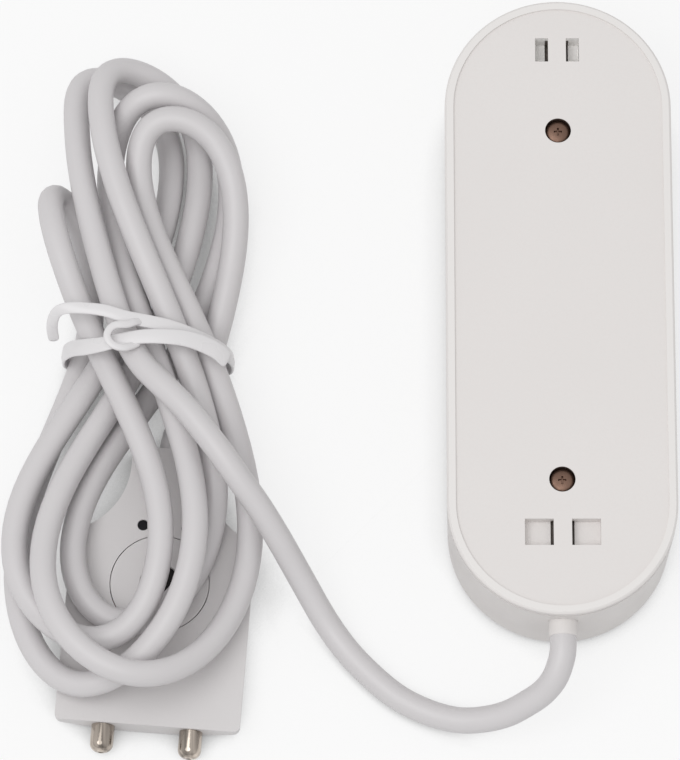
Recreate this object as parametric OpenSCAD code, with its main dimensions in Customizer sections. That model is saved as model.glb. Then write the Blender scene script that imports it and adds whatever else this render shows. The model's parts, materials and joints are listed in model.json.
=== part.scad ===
// Water leak sensor: battery unit, hank of cord with its twist tie, and a flat two-pin probe.
// The unit lies on its front face with its back up. X is right, Y runs along the unit, Z is up.
// All sizes are millimetres.

// Sub-part to draw, or all of them

/* [Main unit] */
// Length of the unit
case_length = 107.5; // [104:0.5:116]
// Width of the unit across its back
case_width = 38; // [37:0.5:42]
// Height of the unit
case_height = 21; // [20.8:0.1:22.5]
// Wall and floor thickness of the front shell
wall = 2; // [1.7:0.1:2.2]
// Draw-in of the wall from back to front
wall_draft = 0.4; // [0.1:0.1:0.8]
// Rounding of the front edge
front_round = 2.5; // [1:0.25:3]

/* [Back cover] */
// Height of the cover's visible edge
cover_thick = 1.6; // [1.5:0.1:1.8]
// Width of the raised band round the back
rim_band = 1.45; // [1:0.05:2]
// Depth of the field inside the band
field_depth = 0.4; // [0.2:0.05:0.5]
// Depth and height of the shadow line at the seam
seam_step = 0.4; // [0.2:0.05:0.5]
// Bevel of the cover's upper edge
rim_bevel = 0.35; // [0.2:0.05:0.5]
// Depth of the lip that enters the shell
lip_depth = 2; // [1.5:0.1:2.2]
// Thickness of the lip
lip_thick = 1.2; // [1:0.1:1.4]
// Clearance round pieces that slide together
fit_gap = 0.15; // [0.1:0.05:0.2]

/* [Cover screws] */
// Room between the cell tray and a screw boss
screw_room = 1.9; // [1:0.1:2.4]
// Diameter of the screw wells
well_d = 4.35; // [4.3:0.05:4.6]
// Depth of the screw wells below the back
well_depth = 4; // [3.5:0.1:4.2]
// Floor under the screw head
well_floor = 1.5; // [1.3:0.1:1.6]
// Diameter of the screw bosses
boss_d = 7; // [6.8:0.1:7.2]
// Diameter of the screw heads
head_d = 4.2; // [3.9:0.05:4.2]
// Height of the screw heads
head_h = 2.4; // [2:0.1:2.6]
// Diameter of the screw shanks
shank_d = 2.5; // [2.2:0.1:2.6]
// Length of the screw shanks
shank_length = 8; // [7:0.5:9]
// Width of the cross in the screw heads
cross_width = 0.6; // [0.5:0.05:0.8]
// Depth of the cross in the screw heads
cross_depth = 0.8; // [0.6:0.1:1]
// Clearance of a shank in its hole
thread_gap = 0.05; // [0.03:0.01:0.08]

/* [Strap bridges] */
// Width of the bar between two slots
bar_width = 3; // [2.6:0.1:3.4]
// Thickness of the bar
bar_thick = 0.9; // [0.8:0.05:1]
// Gap between the floor of a slot and the bar
slot_gap = 0.45; // [0.4:0.05:0.6]
// Drop of the passage under the bar below the floor of the slots
passage_drop = 0.6; // [0.5:0.05:0.7]
// Thickness of plastic kept round the slots
bridge_wall = 1.2; // [1:0.1:1.3]
// Width of one upper slot
upper_slot_width = 2.2; // [2:0.1:2.6]
// Length of one upper slot
upper_slot_length = 4.2; // [3.8:0.1:4.6]
// Depth of the upper slots
upper_slot_depth = 3.4; // [3:0.1:3.6]
// Distance of the upper slots from the unit's end
upper_slot_inset = 8.65; // [8:0.05:9.2]
// Width of one lower slot
lower_slot_width = 4.75; // [4.4:0.05:5.2]
// Length of one lower slot
lower_slot_length = 4.5; // [4.2:0.1:4.8]
// Depth of the lower slots
lower_slot_depth = 2; // [1.8:0.1:2.1]
// Distance of the lower slots from the lower screw
lower_slot_back = 9.05; // [8.8:0.05:9.6]

/* [Board] */
// Room between the floor and the board
board_room = 3; // [3:0.1:3.2]
// Thickness of the board
board_thick = 1.2; // [1:0.1:1.3]
// Clearance round the board
board_gap = 0.3; // [0.25:0.05:0.5]
// Distance between board posts across the unit
post_pitch_x = 18; // [17.6:0.1:18.6]
// Place of the board posts in the room beyond a screw boss
post_share = 0.48; // [0.44:0.01:0.52]
// Diameter of the board posts
post_d = 4.4; // [4:0.1:4.6]
// Diameter of the board screws
post_screw_d = 1.6; // [1.4:0.1:1.8]
// Diameter of the board screw heads
post_head_d = 3.2; // [2.8:0.1:3.3]
// Height of the board screw heads
post_head_h = 1; // [0.8:0.1:1.2]
// Width of the radio module
radio_width = 13; // [12:0.5:13.5]
// Share of the room beyond a screw boss that the radio module takes
radio_share = 0.63; // [0.55:0.01:0.68]
// Height of the radio module's can
radio_height = 2.2; // [1.8:0.1:2.6]
// Thickness of the radio module's own board
radio_base = 0.8; // [0.6:0.1:1]
// Border of the radio module round its can
radio_border = 0.6; // [0.4:0.1:0.8]

/* [Cells] */
// Diameter of one cell
cell_d = 10.5; // [10.2:0.1:10.5]
// Length of one cell with its button
cell_length = 44.5; // [44:0.1:44.5]
// Diameter of the cell's button
nub_d = 3.8; // [3.4:0.1:4.2]
// Height of the cell's button
nub_h = 0.8; // [0.6:0.1:1]
// Space between the two cells
cell_space = 0.4; // [0.3:0.1:0.6]
// Clearance under the cells
cell_gap = 0.05; // [0.03:0.01:0.1]
// Floor and walls of the tray
tray_wall = 0.8; // [0.7:0.1:0.9]
// Height of the tray's end walls above its floor
tray_end_height = 8; // [7:0.5:9]
// Height of the tray's side walls above its floor
tray_side_height = 3; // [2:0.5:4]
// Room for a compressed spring
spring_room = 3.4; // [3.2:0.1:3.6]
// Wire diameter of the springs
spring_wire = 0.7; // [0.5:0.05:0.7]
// Radius of a spring at its plate
spring_foot = 3.2; // [3:0.1:3.4]
// Radius of a spring at the cell
spring_top = 1.8; // [1.6:0.1:2]
// Turns of a spring
spring_turns = 2.5; // [2:0.5:2.5]
// Thickness of the contact plates
plate_thick = 0.4; // [0.3:0.05:0.5]
// Width and height of a contact plate
plate_size = 7.6; // [7:0.1:8]

/* [Button and lamp] */
// Diameter of the pairing button
button_d = 9; // [8:0.5:10]
// Position of the button along the unit
button_y = 10; // [8:1:12]
// Recess of the button below the front face
button_recess = 0.2; // [0.1:0.05:0.3]
// Width of the button's flange
button_flange = 0.9; // [0.7:0.1:1.1]
// Thickness of the button's flange
flange_thick = 0.5; // [0.4:0.05:0.55]
// Travel of the button
button_travel = 0.5; // [0.3:0.05:0.5]
// Clearance round the button
button_gap = 0.2; // [0.15:0.05:0.3]
// Width of the tact switch
switch_size = 6; // [5:0.5:6.5]
// Height of the tact switch's body
switch_height = 1.7; // [1.5:0.1:1.8]
// Diameter of the tact switch's plunger
plunger_d = 3.2; // [2.8:0.1:3.5]
// Position of the lamp along the unit
lamp_y = -8; // [-10:1:-6]
// Diameter of the light pipe
pipe_d = 3; // [2.6:0.1:3.4]
// Length of the lamp chip
lamp_length = 2; // [1.6:0.1:2.4]
// Width of the lamp chip
lamp_width = 1.2; // [1:0.1:1.6]
// Height of the lamp chip
lamp_height = 0.8; // [0.6:0.1:0.9]
// Gap between the lamp chip and its pipe
lamp_gap = 0.2; // [0.1:0.05:0.3]

/* [Cord] */
// Diameter of the cord
cord_d = 4.4; // [4.2:0.05:4.4]
// Diameter of one insulated wire in the cord
wire_d = 1.2; // [1:0.1:1.3]
// Distance between the two wires
wire_pitch = 1.6; // [1.5:0.1:1.8]
// Drop of the cord's exit below the seam
exit_drop = 3.7; // [3.6:0.05:4]
// Diameter of the gland's stub
gland_d = 4.7; // [4.6:0.1:5]
// Reach of the stub past the unit's end
gland_reach = 2.45; // [2.3:0.05:2.6]
// Diameter of the gland's inner flange
gland_flange_d = 7; // [6.6:0.1:7]
// Thickness of the gland's inner flange
gland_flange = 1.4; // [1.2:0.1:1.6]
// Width of the wire header
header_width = 6; // [5:0.5:7]
// Depth of the wire header
header_depth = 5; // [4:0.5:5.5]
// Height of the wire header
header_height = 5; // [4:0.5:6]
// Place of the wire header in the room beyond a screw boss
header_share = 0.4; // [0.34:0.01:0.44]

/* [Hank] */
// Position of the hank's waist across
hank_x = -68.5; // [-69.5:0.1:-68]
// Position of the hank's waist along the unit
hank_y = -3.5; // [-4:0.1:-3]
// Lift of the hank by the tie beneath it
hank_lift = 0.9; // [0.9:0.05:1.2]
// Width of the twist tie
tie_width = 2.6; // [2.2:0.1:2.7]
// Thickness of the twist tie
tie_thick = 0.7; // [0.5:0.05:0.7]
// Radius of the tie's twisted ring
knot_r = 1.85; // [1.7:0.05:2]
// Thickness of the tie's twisted ring
knot_wire = 1; // [0.8:0.1:1]

/* [Probe] */
// Position of the middle of the pin edge across
probe_x = -68.55; // [-69.2:0.05:-68]
// Position of the middle of the pin edge along the unit
probe_y = -68.35; // [-68.6:0.05:-68]
// Turn of the probe on the table
probe_turn = -4.5; // [-5:0.1:-4]
// Width of the probe
probe_width = 30.7; // [29.5:0.1:32]
// Length of the probe from pin edge to neck end
probe_length = 48; // [47.5:0.1:48.5]
// Thickness of the probe
probe_height = 5; // [4.9:0.05:5.1]
// Thickness of the probe's flat cover
probe_cover_thick = 1; // [0.9:0.05:1.1]
// Bow of the probe's front across its width
probe_bow = 3.4; // [3:0.1:3.5]
// Width of the neck
neck_width = 13; // [12:0.1:13.5]
// Radius of the hollow shoulders
shoulder_r = 12.5; // [11.5:0.1:13]
// Distance of the shoulder's centre from the neck end
shoulder_back = 3.5; // [3:0.1:4]
// Rounding of the corners beside the pins
probe_corner = 1; // [0.6:0.1:1.5]
// Diameter of the round cap
cap_d = 16.4; // [15.6:0.1:17]
// Diameter of the hole in the cap
cap_hole_d = 6.8; // [6.2:0.1:7.2]
// Position of the cap from the pin edge
cap_along = 24.4; // [24:0.1:24.8]
// Groove round the cap
cap_gap = 0.15; // [0.1:0.05:0.25]
// Diameter of the magnet
magnet_d = 9; // [8.4:0.1:9.4]
// Height of the magnet
magnet_h = 1.8; // [1.5:0.1:1.9]
// Diameter of the contact pins
pin_d = 3.9; // [3.5:0.1:4.1]
// Distance between the contact pins
pin_pitch = 14.6; // [14:0.1:15]
// Reach of the contact pins past the edge
pin_reach = 4.6; // [4:0.1:5]
// Diameter of the pins inside the probe
pin_root_d = 2.2; // [1.8:0.1:2.3]
// Length of the pins inside the probe
pin_root = 6; // [5:0.5:7]
// Height of pins and core above the table
pin_z = 2.6; // [2.55:0.05:2.65]
// Rounding of the pin tips
pin_round = 1.5; // [1:0.1:1.6]
// Diameter of the dimple in the pin tips
dimple_d = 0.8; // [0.6:0.1:0.9]
// Distance between the probe screws
probe_screw_pitch = 7.3; // [7:0.1:7.6]
// Position of the probe screws from the pin edge
probe_screw_along = 34.3; // [34:0.1:34.6]
// Diameter of the probe screw heads
probe_head_d = 1.8; // [1.6:0.1:1.9]
// Height of the probe screw heads
probe_head_h = 0.4; // [0.3:0.05:0.45]
// Recess of the probe screw heads
probe_head_sink = 0.2; // [0.1:0.05:0.3]
// Diameter of the probe screw shanks
probe_shank_d = 1.1; // [1:0.05:1.2]
// Length of the probe screw shanks
probe_shank = 2.6; // [2.4:0.1:2.8]
// Diameter of the cord's core inside the neck
core_d = 2.4; // [2.2:0.1:2.5]
// Length of the cord's core inside the neck
core_length = 6; // [5:0.5:6.5]
// Diameter of the probe's inner wires
probe_wire_d = 1; // [0.8:0.1:1]
// Width of the channels for the inner wires
channel = 1.6; // [1.4:0.1:1.7]

/* [Hidden] */
$fn = 64;
// Small overrun of a cut
eps = 0.05;
// Main unit
case_r = case_width / 2;
case_half = (case_length - case_width) / 2;
front_r = case_r - wall_draft;
cavity_r = case_r - wall_draft / 2 - wall;
seam_z = case_height - cover_thick;
field_z = case_height - field_depth;
well_z = case_height - well_depth;
boss_top = well_z - well_floor;
lip_r = cavity_r - fit_gap;
core_r = case_r - max(seam_step, rim_bevel) - eps;
end_y = case_half + case_r;
// Board, cells and tray
board_z = wall + board_room;
board_top = board_z + board_thick;
board_r = cavity_r - board_gap;
tray_top = board_top + tray_wall;
cell_x = (cell_d + cell_space) / 2;
cell_z = tray_top + cell_d / 2 + cell_gap;
nest_half = (cell_length + spring_room) / 2 + cell_gap;
tray_half = nest_half + plate_thick + tray_wall;
tray_half_x = cell_d + cell_space + tray_wall;
// Screws, and what lies beyond them
screw_y = tray_half + screw_room + boss_d / 2;
boss_y = screw_y + boss_d / 2;
end_room = case_half + cavity_r - boss_y;
post_x = post_pitch_x / 2;
post_y = boss_y + post_share * end_room;
radio_length = radio_share * end_room;
header_y = -boss_y - header_share * end_room;
upper_slot_y = end_y - upper_slot_inset;
lower_slot_y = -screw_y - lower_slot_back;
// Button and lamp
plunger_z = wall + flange_thick + button_travel + cell_gap;
// Cord exit
exit_z = seam_z - exit_drop;
gland_end = end_y + gland_reach;
exit_at = [0, -gland_end, exit_z];
wall_y = case_half + sqrt(pow(cavity_r, 2) - pow(gland_flange_d / 2, 2)) - fit_gap;
flange_y = wall_y - gland_flange;
// Probe
probe_split = probe_height - probe_cover_thick;
probe_half = probe_width / 2;
bow_r = (pow(probe_half, 2) + pow(probe_bow, 2)) / (2 * probe_bow);
shoulder_y = probe_length - shoulder_back;
shoulder_x = neck_width / 2 + shoulder_r;
magnet_floor = probe_split - magnet_h - eps;
channel_floor = pin_z - probe_wire_d / 2 - eps;
elbow_y = probe_screw_along;
core_y = probe_length - core_length;
wire_run = [pin_pitch / 2 - wire_pitch / 2, core_y - elbow_y];
// Directions in which the cord meets the probe and the unit
neck_dir = [sin(probe_turn), -cos(probe_turn), 0];
neck_at = [probe_x, probe_y, pin_z] - probe_length * neck_dir;
// Points of the free cord from the unit to the hank
lead_points = [exit_at, exit_at - [0, cord_d / 2, 0], exit_at + [-0.3, -3.8, -0.4],
    exit_at + [-1.3, -6.3, -1.9], exit_at + [-3.2, -8.2, -4.3], exit_at + [-6, -9.6, -6.7],
    exit_at + [-9.2, -10.7, -9], exit_at + [-13, -11.1, -11], [-17.1, -67, 3.2], [-21.7, -65.6, 2.4],
    [-26.7, -63.1, 2.3], [-31.1, -59.5, 2.3], [-35.3, -55.1, 2.5], [-39.1, -50, 3.8],
    [-43.3, -43.4, 7.6], [-47, -37.8, 11.8], [-50.3, -33.2, 15], [-53.5, -29.2, 17.3],
    [-56.4, -25.3, 18.7], [-59.3, -21.5, 19.2], [-60.6, -19.8, 19.2], [-62, -18, 19.2]];
// Places of the strands in the waist, each across and up: five lie above and five below
upper = [[-9.6, 11.5], [-4.6, 14.6], [-0.4, 11.7], [5, 13.2], [9.3, 9.8]];
lower = [[-9.9, 2.3], [-5.4, 6.2], [0.4, 5.4], [5.7, 2.4], [10.5, 4.8]];
// Lobes in cord order: side, place in, place out, reach, tip, belly in, belly out, three heights
lobes = [
    [1, upper[1], lower[1], 49.5, -9, 4.84, 11.03, 9.81, 3.98, 2.53],
    [-1, lower[1], upper[0], 51.9, -8.5, 14.51, 11, 9.96, 10.46, 13.42],
    [1, upper[0], lower[0], 27, -16, 2.05, 2.59, 11.91, 6.26, 3.1],
    [-1, lower[0], upper[2], 58.9, -9.5, 12.18, 13.69, 4.38, 8.27, 14.3],
    [1, upper[2], lower[3], 43.5, 1.5, 8.11, 10.54, 6.85, 13.38, 4.66],
    [-1, lower[3], upper[3], 48, -3.5, 11.64, 10.99, 6.9, 7.05, 7.09],
    [1, upper[3], lower[2], 49.5, -4, 6.51, 10.63, 14.69, 8.41, 4.08],
    [-1, lower[2], upper[4], 59, -1, 16.43, 13.66, 14.21, 15.15, 6.88],
    [1, upper[4], lower[4], 38.5, 3.5, 7.05, 8.31, 10.86, 14.77, 10.68]];
// Rings of cord along one lobe
lobe_rings = 12;
// Fullness of the lower lobes near the waist
belly = 0.08;
// Softness of the rise and fall between heights
ease = 0.75;
// Points of the tie from its left end, round the waist, to its right end: place, then outward side
tie_points = [[-16, -0.3, 12.5], [-16.2, 1.2, 15.5], [-15.5, 2.6, 17.8], [-13.8, 3.1, 19],
    [-10.6, 3, 19.4], [-7.2, 2.5, 19.6], [-3.9, 1.5, 19.4], [-0.4, 1, 18.9], [3.2, 0.8, 18.1],
    [6.4, 0.4, 16.9], [9.5, -0.1, 15.2], [12, -0.5, 12.9], [13.5, -0.8, 9.5], [13.8, -0.9, 6],
    [13.3, -0.8, 2.8], [11.8, -0.6, 1], [9, -0.5, 0.5], [4, -0.4, 0.45], [-1, -0.4, 0.45],
    [-6, -0.5, 0.45], [-9.8, -0.6, 0.5], [-12.9, -0.7, 1.2], [-14, -0.8, 3.4], [-14.1, -1, 7],
    [-13.6, -1.5, 10.5], [-12.4, -2.1, 13.6], [-10.3, -2.8, 16.4], [-7.6, -3, 18.4],
    [-4.7, -2.6, 19.4], [-1.2, -2.1, 19.7], [2.6, -2, 19.5], [6, -2.1, 18.8], [9, -2.7, 17.7],
    [11.4, -3.6, 16.5], [13.2, -4.8, 15.1]];
tie_sides = [[-1, 0], [-1, 0.2], [-0.8, 0.6], [-0.3, 1], [0, 1], [0, 1], [0, 1], [0.1, 1], [0.2, 1],
    [0.4, 1], [0.6, 0.8], [0.85, 0.5], [1, 0.1], [1, 0], [1, -0.3], [0.6, -0.8], [0, -1], [0, -1],
    [0, -1], [0, -1], [0, -1], [-0.7, -0.7], [-1, -0.2], [-1, 0], [-1, 0.1], [-0.8, 0.6],
    [-0.5, 0.85], [-0.2, 1], [0, 1], [0, 1], [0.1, 1], [0.2, 1], [0.3, 1], [0.4, 1], [0.5, 1]];
// Place of the twisted ring over the waist
knot_at = [-5.1, -1.8, 20.75];

function unit(v) = v / norm(v);
function clamp(t) = min(1, max(0, t));
function mix(a, b, t) = a + (b - a) * t;
// Curve between two points with a slope at each
function hermite(a, b, ma, mb, t) = (2 * pow(t, 3) - 3 * t * t + 1) * a + (pow(t, 3) - 2 * t * t + t) * ma
    + (3 * t * t - 2 * pow(t, 3)) * b + (pow(t, 3) - t * t) * mb;
// Row of points with steps between each two
function smooth(p, steps) = let (n = len(p) - 1) concat([for (i = [0 : n - 1]) for (k = [0 : steps - 1])
    hermite(p[i], p[i + 1], (p[i + 1] - p[max(i - 1, 0)]) / 2, (p[min(i + 2, n)] - p[i]) / 2, k / steps)],
    [p[n]]);
// Height of a lobe's strand by its angle
function lobe_slope(h, k) = ease * (h[min(k + 1, 4)] - h[max(k - 1, 0)]);
function lobe_height(h, a) = let (i = min(3, floor(a / 45)))
    hermite(h[i], h[i + 1], lobe_slope(h, i), lobe_slope(h, i + 1), a / 45 - i);
// Point of a lobe by its angle, from one place in the waist to the next
function lobe_point(l, a) = let (
    s = sin(a),
    place = a <= 90 ? l[1] : l[2],
    swell = sin(2 * a) + (l[0] < 0 ? belly * sin(4 * a) : 0),
    x = mix(place[0], l[4], s) - swell * (a <= 90 ? l[5] : l[6]))
    [hank_x + x, hank_y + l[0] * l[3] * s,
    hank_lift + lobe_height([l[1][1], l[7], l[8], l[9], l[2][1]], a)];
// Points from one place to another with a direction at each
function bridge(a, b, da, db, steps) = let (d = norm(b - a))
    [for (k = [0 : steps - 1]) hermite(a, b, d * da, d * db, k / steps)];
// Whole hank from the free cord to the probe
first_lobe = lobes[0];
last_lobe = lobes[len(lobes) - 1];
lead_end = lead_points[len(lead_points) - 1];
lead_dir = unit(lead_end - lead_points[len(lead_points) - 2]);
hank_in = unit(lobe_point(first_lobe, 2) - lobe_point(first_lobe, 0));
hank_out = unit(lobe_point(last_lobe, 180) - lobe_point(last_lobe, 178));
hank_points = concat(
    bridge(lead_end, lobe_point(first_lobe, 0), lead_dir, hank_in, 4),
    [for (l = lobes) for (k = [0 : lobe_rings - 1]) lobe_point(l, 180 * k / lobe_rings)],
    bridge(lobe_point(last_lobe, 180), neck_at, hank_out, neck_dir, 4), [neck_at]);
// Least distance between two straight stretches
function stretch_gap(p, q, r, s) = let (u = q - p, v = s - r, w = p - r, a = u * u, e = v * v, f = v * w,
    c = u * w, b = u * v, den = a * e - b * b,
    m = den > 0.000001 ? clamp((b * f - c * e) / den) : 0, t = (b * m + f) / e,
    n = t < 0 ? clamp(-c / a) : t > 1 ? clamp((b - c) / a) : m) norm(p + u * n - r - v * clamp(t));
// Length along a row of points up to each of them
function lengths(p, i = 0, sum = 0) = i >= len(p) ? [] :
    concat([sum], lengths(p, i + 1, i + 1 < len(p) ? sum + norm(p[i + 1] - p[i]) : sum));
// Least gap of a round cord to itself, leaving out what lies next along it
function self_gap(p, d) = let (at = lengths(p), n = len(p) - 2)
    min([for (i = [0 : n - 2]) for (j = [i + 2 : n])
        if (at[j] - at[i + 1] > 2.2 * d) stretch_gap(p[i], p[i + 1], p[j], p[j + 1]) - d]);
function cross_gap(p, q, d) = min([for (i = [0 : len(p) - 2]) for (j = [0 : len(q) - 2])
    stretch_gap(p[i], p[i + 1], q[j], q[j + 1]) - d]);
// Directions along a row of points, with the first and last given
function headings(p, first, last) = let (n = len(p) - 1) [for (i = [0 : n])
    i == 0 ? first : i == n ? last : unit(unit(p[i + 1] - p[i]) + unit(p[i] - p[i - 1]))];
function tube_faces(rings, sides) = concat(
    [for (k = [1 : sides - 2]) [0, k + 1, k]],
    [for (i = [0 : rings - 2]) for (k = [0 : sides - 1]) let (a = i * sides + k,
        b = i * sides + (k + 1) % sides) each [[a, b, b + sides], [a, b + sides, a + sides]]],
    [for (k = [1 : sides - 2]) let (a = (rings - 1) * sides) [a, a + k, a + k + 1]]);

// Round tube along a row of points; the side vector is never along the tube
module tube(p, d, sides, side, first, last) {
    h = headings(p, first, last);
    v = [for (i = [0 : len(p) - 1]) let (b = unit(cross(h[i], side)), m = cross(b, h[i]))
        for (k = [0 : sides - 1]) p[i] + d / 2 * (cos(360 * k / sides) * b + sin(360 * k / sides) * m)];
    polyhedron(v, tube_faces(len(p), sides));
}

// Flat strip along a row of points, each with its outward side
module strip(p, out, w, t) {
    n = len(p) - 1;
    h = headings(p, unit(p[1] - p[0]), unit(p[n] - p[n - 1]));
    v = [for (i = [0 : n]) let (b = unit(cross(h[i], out[i])), m = cross(b, h[i]))
        for (c = [[-1, -1], [1, -1], [1, 1], [-1, 1]]) p[i] + c[0] * w / 2 * b + c[1] * t / 2 * m];
    polyhedron(v, tube_faces(len(p), 4));
}

// Long form with round ends between two heights
module long_form(r0, r1, z0, z1) {
    for (s = [-1, 1]) {
        translate([0, s * case_half, z0])
            cylinder(r1 = r0, r2 = r1, h = z1 - z0);
    }
    translate([0, case_half, z0])
        rotate([90, 0, 0])
            linear_extrude(2 * case_half)
                polygon([[-r0, 0], [r0, 0], [r1, z1 - z0], [-r1, z1 - z0]]);
}

// Rounded lower edge of the shell, up to the top of the rounding
module front_edge() {
    inner_r = front_r - front_round;
    for (s = [-1, 1]) {
        translate([0, s * case_half, front_round])
            rotate_extrude()
                translate([inner_r, 0])
                    intersection() {
                        circle(r = front_round);
                        translate([0, -front_round])
                            square(front_round);
                    }
        translate([s * inner_r, case_half, front_round])
            rotate([90, 0, 0])
                cylinder(r = front_round, h = 2 * case_half);
    }
    long_form(inner_r, inner_r, 0, front_round + eps);
}

// Post with round cross-section at both screws
module at_screws() {
    for (s = [-1, 1]) {
        translate([0, s * screw_y, 0])
            children();
    }
}

module at_posts() {
    for (sx = [-1, 1], sy = [-1, 1]) {
        translate([sx * post_x, sy * post_y, 0])
            children();
    }
}

module front_shell() {
    color([0.86, 0.86, 0.85])
    difference() {
        union() {
            difference() {
                union() {
                    front_edge();
                    long_form(front_r, case_r, front_round, seam_z);
                }
                long_form(cavity_r, cavity_r, wall, seam_z + eps);
            }
            at_screws()
                translate([0, 0, wall - eps])
                    cylinder(d = boss_d, h = boss_top - wall + eps);
            at_posts()
                translate([0, 0, wall - eps])
                    cylinder(d = post_d, h = board_room + eps);
        }
        at_screws()
            translate([0, 0, well_z - shank_length - 0.5])
                cylinder(d = shank_d + 2 * thread_gap, h = shank_length);
        at_posts()
            translate([0, 0, wall])
                cylinder(d = post_screw_d + 2 * thread_gap, h = board_room + eps);
        translate([0, button_y, -eps])
            cylinder(d = button_d + 2 * button_gap, h = wall + 2 * eps);
        translate([0, lamp_y, -eps])
            cylinder(d = pipe_d + 2 * thread_gap, h = wall + 2 * eps);
        translate([0, -case_half, exit_z])
            rotate([90, 0, 0])
                cylinder(d = gland_d + 2 * thread_gap, h = case_r + 1);
    }
}

// Flat pockets on both sides of a strap bar, joined by a passage under it
module strap_slots(w, l, y, depth) {
    half = bar_width / 2;
    near = half + slot_gap;
    low = depth + passage_drop;
    translate([0, y + l / 2, field_z])
        rotate([90, 0, 0])
            linear_extrude(l)
                polygon([[-half - w, eps], [-half - w, -depth], [-near, -depth], [-near, -low],
                    [near, -low], [near, -depth], [half + w, -depth], [half + w, eps],
                    [half, eps], [half, -bar_thick], [-half, -bar_thick], [-half, eps]]);
}

module bridge_block(w, l, y, depth) {
    bottom = field_z - depth - passage_drop - bridge_wall;
    size = [bar_width + 2 * w + 2 * bridge_wall, l + 2 * bridge_wall, seam_z - bottom + eps];
    translate([-size[0] / 2, y - size[1] / 2, bottom])
        cube(size);
}

module back_cover() {
    color([0.9, 0.9, 0.89])
    difference() {
        union() {
            long_form(case_r - seam_step, case_r - seam_step, seam_z, seam_z + seam_step);
            long_form(case_r, case_r, seam_z + seam_step, case_height - rim_bevel);
            long_form(case_r, case_r - rim_bevel, case_height - rim_bevel, case_height);
            long_form(core_r, core_r, seam_z + eps, case_height - eps);
            difference() {
                long_form(lip_r, lip_r, seam_z - lip_depth, seam_z + eps);
                long_form(lip_r - lip_thick, lip_r - lip_thick, seam_z - lip_depth - eps, seam_z);
            }
            at_screws()
                translate([0, 0, boss_top])
                    cylinder(d = boss_d, h = seam_z - boss_top + eps);
            bridge_block(upper_slot_width, upper_slot_length, upper_slot_y, upper_slot_depth);
            bridge_block(lower_slot_width, lower_slot_length, lower_slot_y, lower_slot_depth);
        }
        long_form(case_r - rim_band, case_r - rim_band, field_z, case_height + eps);
        at_screws() {
            translate([0, 0, well_z])
                cylinder(d = well_d, h = well_depth + eps);
            translate([0, 0, boss_top - eps])
                cylinder(d = shank_d + 2 * fit_gap, h = well_floor + 2 * eps);
        }
        strap_slots(upper_slot_width, upper_slot_length, upper_slot_y, upper_slot_depth);
        strap_slots(lower_slot_width, lower_slot_length, lower_slot_y, lower_slot_depth);
        translate([-gland_flange_d / 2 - fit_gap, -end_y, seam_z - lip_depth - eps])
            cube([gland_flange_d + 2 * fit_gap, end_y - flange_y + 2, lip_depth + eps]);
    }
}

module cover_screws() {
    color([0.3, 0.26, 0.22])
    at_screws()
        difference() {
            union() {
                translate([0, 0, well_z])
                    cylinder(d = head_d, h = head_h);
                translate([0, 0, well_z - shank_length])
                    cylinder(d = shank_d, h = shank_length + eps);
            }
            for (a = [0, 90]) {
                rotate(a)
                    translate([-head_d * 0.35, -cross_width / 2, well_z + head_h - cross_depth])
                        cube([head_d * 0.7, cross_width, cross_depth + eps]);
            }
        }
}

module main_board() {
    color([0.1, 0.36, 0.2])
    difference() {
        long_form(board_r, board_r, board_z, board_top);
        at_screws()
            translate([0, 0, board_z - eps])
                cylinder(d = boss_d + 2 * board_gap, h = board_thick + 2 * eps);
        at_posts()
            translate([0, 0, board_z - eps])
                cylinder(d = post_screw_d + 2 * fit_gap, h = board_thick + 2 * eps);
    }
}

module board_screws() {
    color([0.62, 0.62, 0.64])
    at_posts() {
        translate([0, 0, board_top])
            cylinder(d = post_head_d, h = post_head_h);
        translate([0, 0, wall + 0.5])
            cylinder(d = post_screw_d, h = board_top - wall - 0.5 + eps);
    }
}

module radio_module() {
    color([0.72, 0.73, 0.75])
    translate([0, post_y, board_top]) {
        translate([-radio_width / 2, -radio_length / 2, 0])
            cube([radio_width, radio_length, radio_base]);
        translate([radio_border - radio_width / 2, radio_border - radio_length / 2, radio_base - eps])
            cube([radio_width - 2 * radio_border, radio_length - 2 * radio_border, radio_height + eps]);
    }
}

module tact_switch() {
    color([0.15, 0.15, 0.16])
    translate([0, button_y, 0]) {
        translate([-switch_size / 2, -switch_size / 2, board_z - switch_height])
            cube([switch_size, switch_size, switch_height]);
        translate([0, 0, plunger_z])
            cylinder(d = plunger_d, h = board_z - switch_height - plunger_z + eps);
    }
}

module pairing_button() {
    color([0.78, 0.78, 0.78])
    translate([0, button_y, 0]) {
        translate([0, 0, button_recess])
            cylinder(d = button_d, h = wall - button_recess + eps);
        translate([0, 0, wall])
            cylinder(d = button_d + 2 * button_flange, h = flange_thick);
    }
}

module status_led() {
    color([0.95, 0.93, 0.8])
    translate([-lamp_length / 2, lamp_y - lamp_width / 2, board_z - lamp_height])
        cube([lamp_length, lamp_width, lamp_height]);
}

module light_pipe() {
    color([0.85, 0.9, 0.92])
    translate([0, lamp_y, 0]) {
        translate([0, 0, button_recess])
            cylinder(d = pipe_d, h = board_z - lamp_height - lamp_gap - button_recess);
        translate([0, 0, wall])
            cylinder(d = pipe_d + 2 * button_flange, h = flange_thick);
    }
}

module battery_tray() {
    color([0.2, 0.2, 0.22])
    translate([0, 0, board_top]) {
        translate([-tray_half_x, -tray_half, 0])
            cube([2 * tray_half_x, 2 * tray_half, tray_wall]);
        for (s = [-1, 1]) {
            translate([-tray_half_x, s * (tray_half - tray_wall / 2) - tray_wall / 2, 0])
                cube([2 * tray_half_x, tray_wall, tray_wall + tray_end_height]);
            translate([s * (tray_half_x - tray_wall / 2) - tray_wall / 2, -tray_half, 0])
                cube([tray_wall, 2 * tray_half, tray_wall + tray_side_height]);
        }
    }
}

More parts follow.
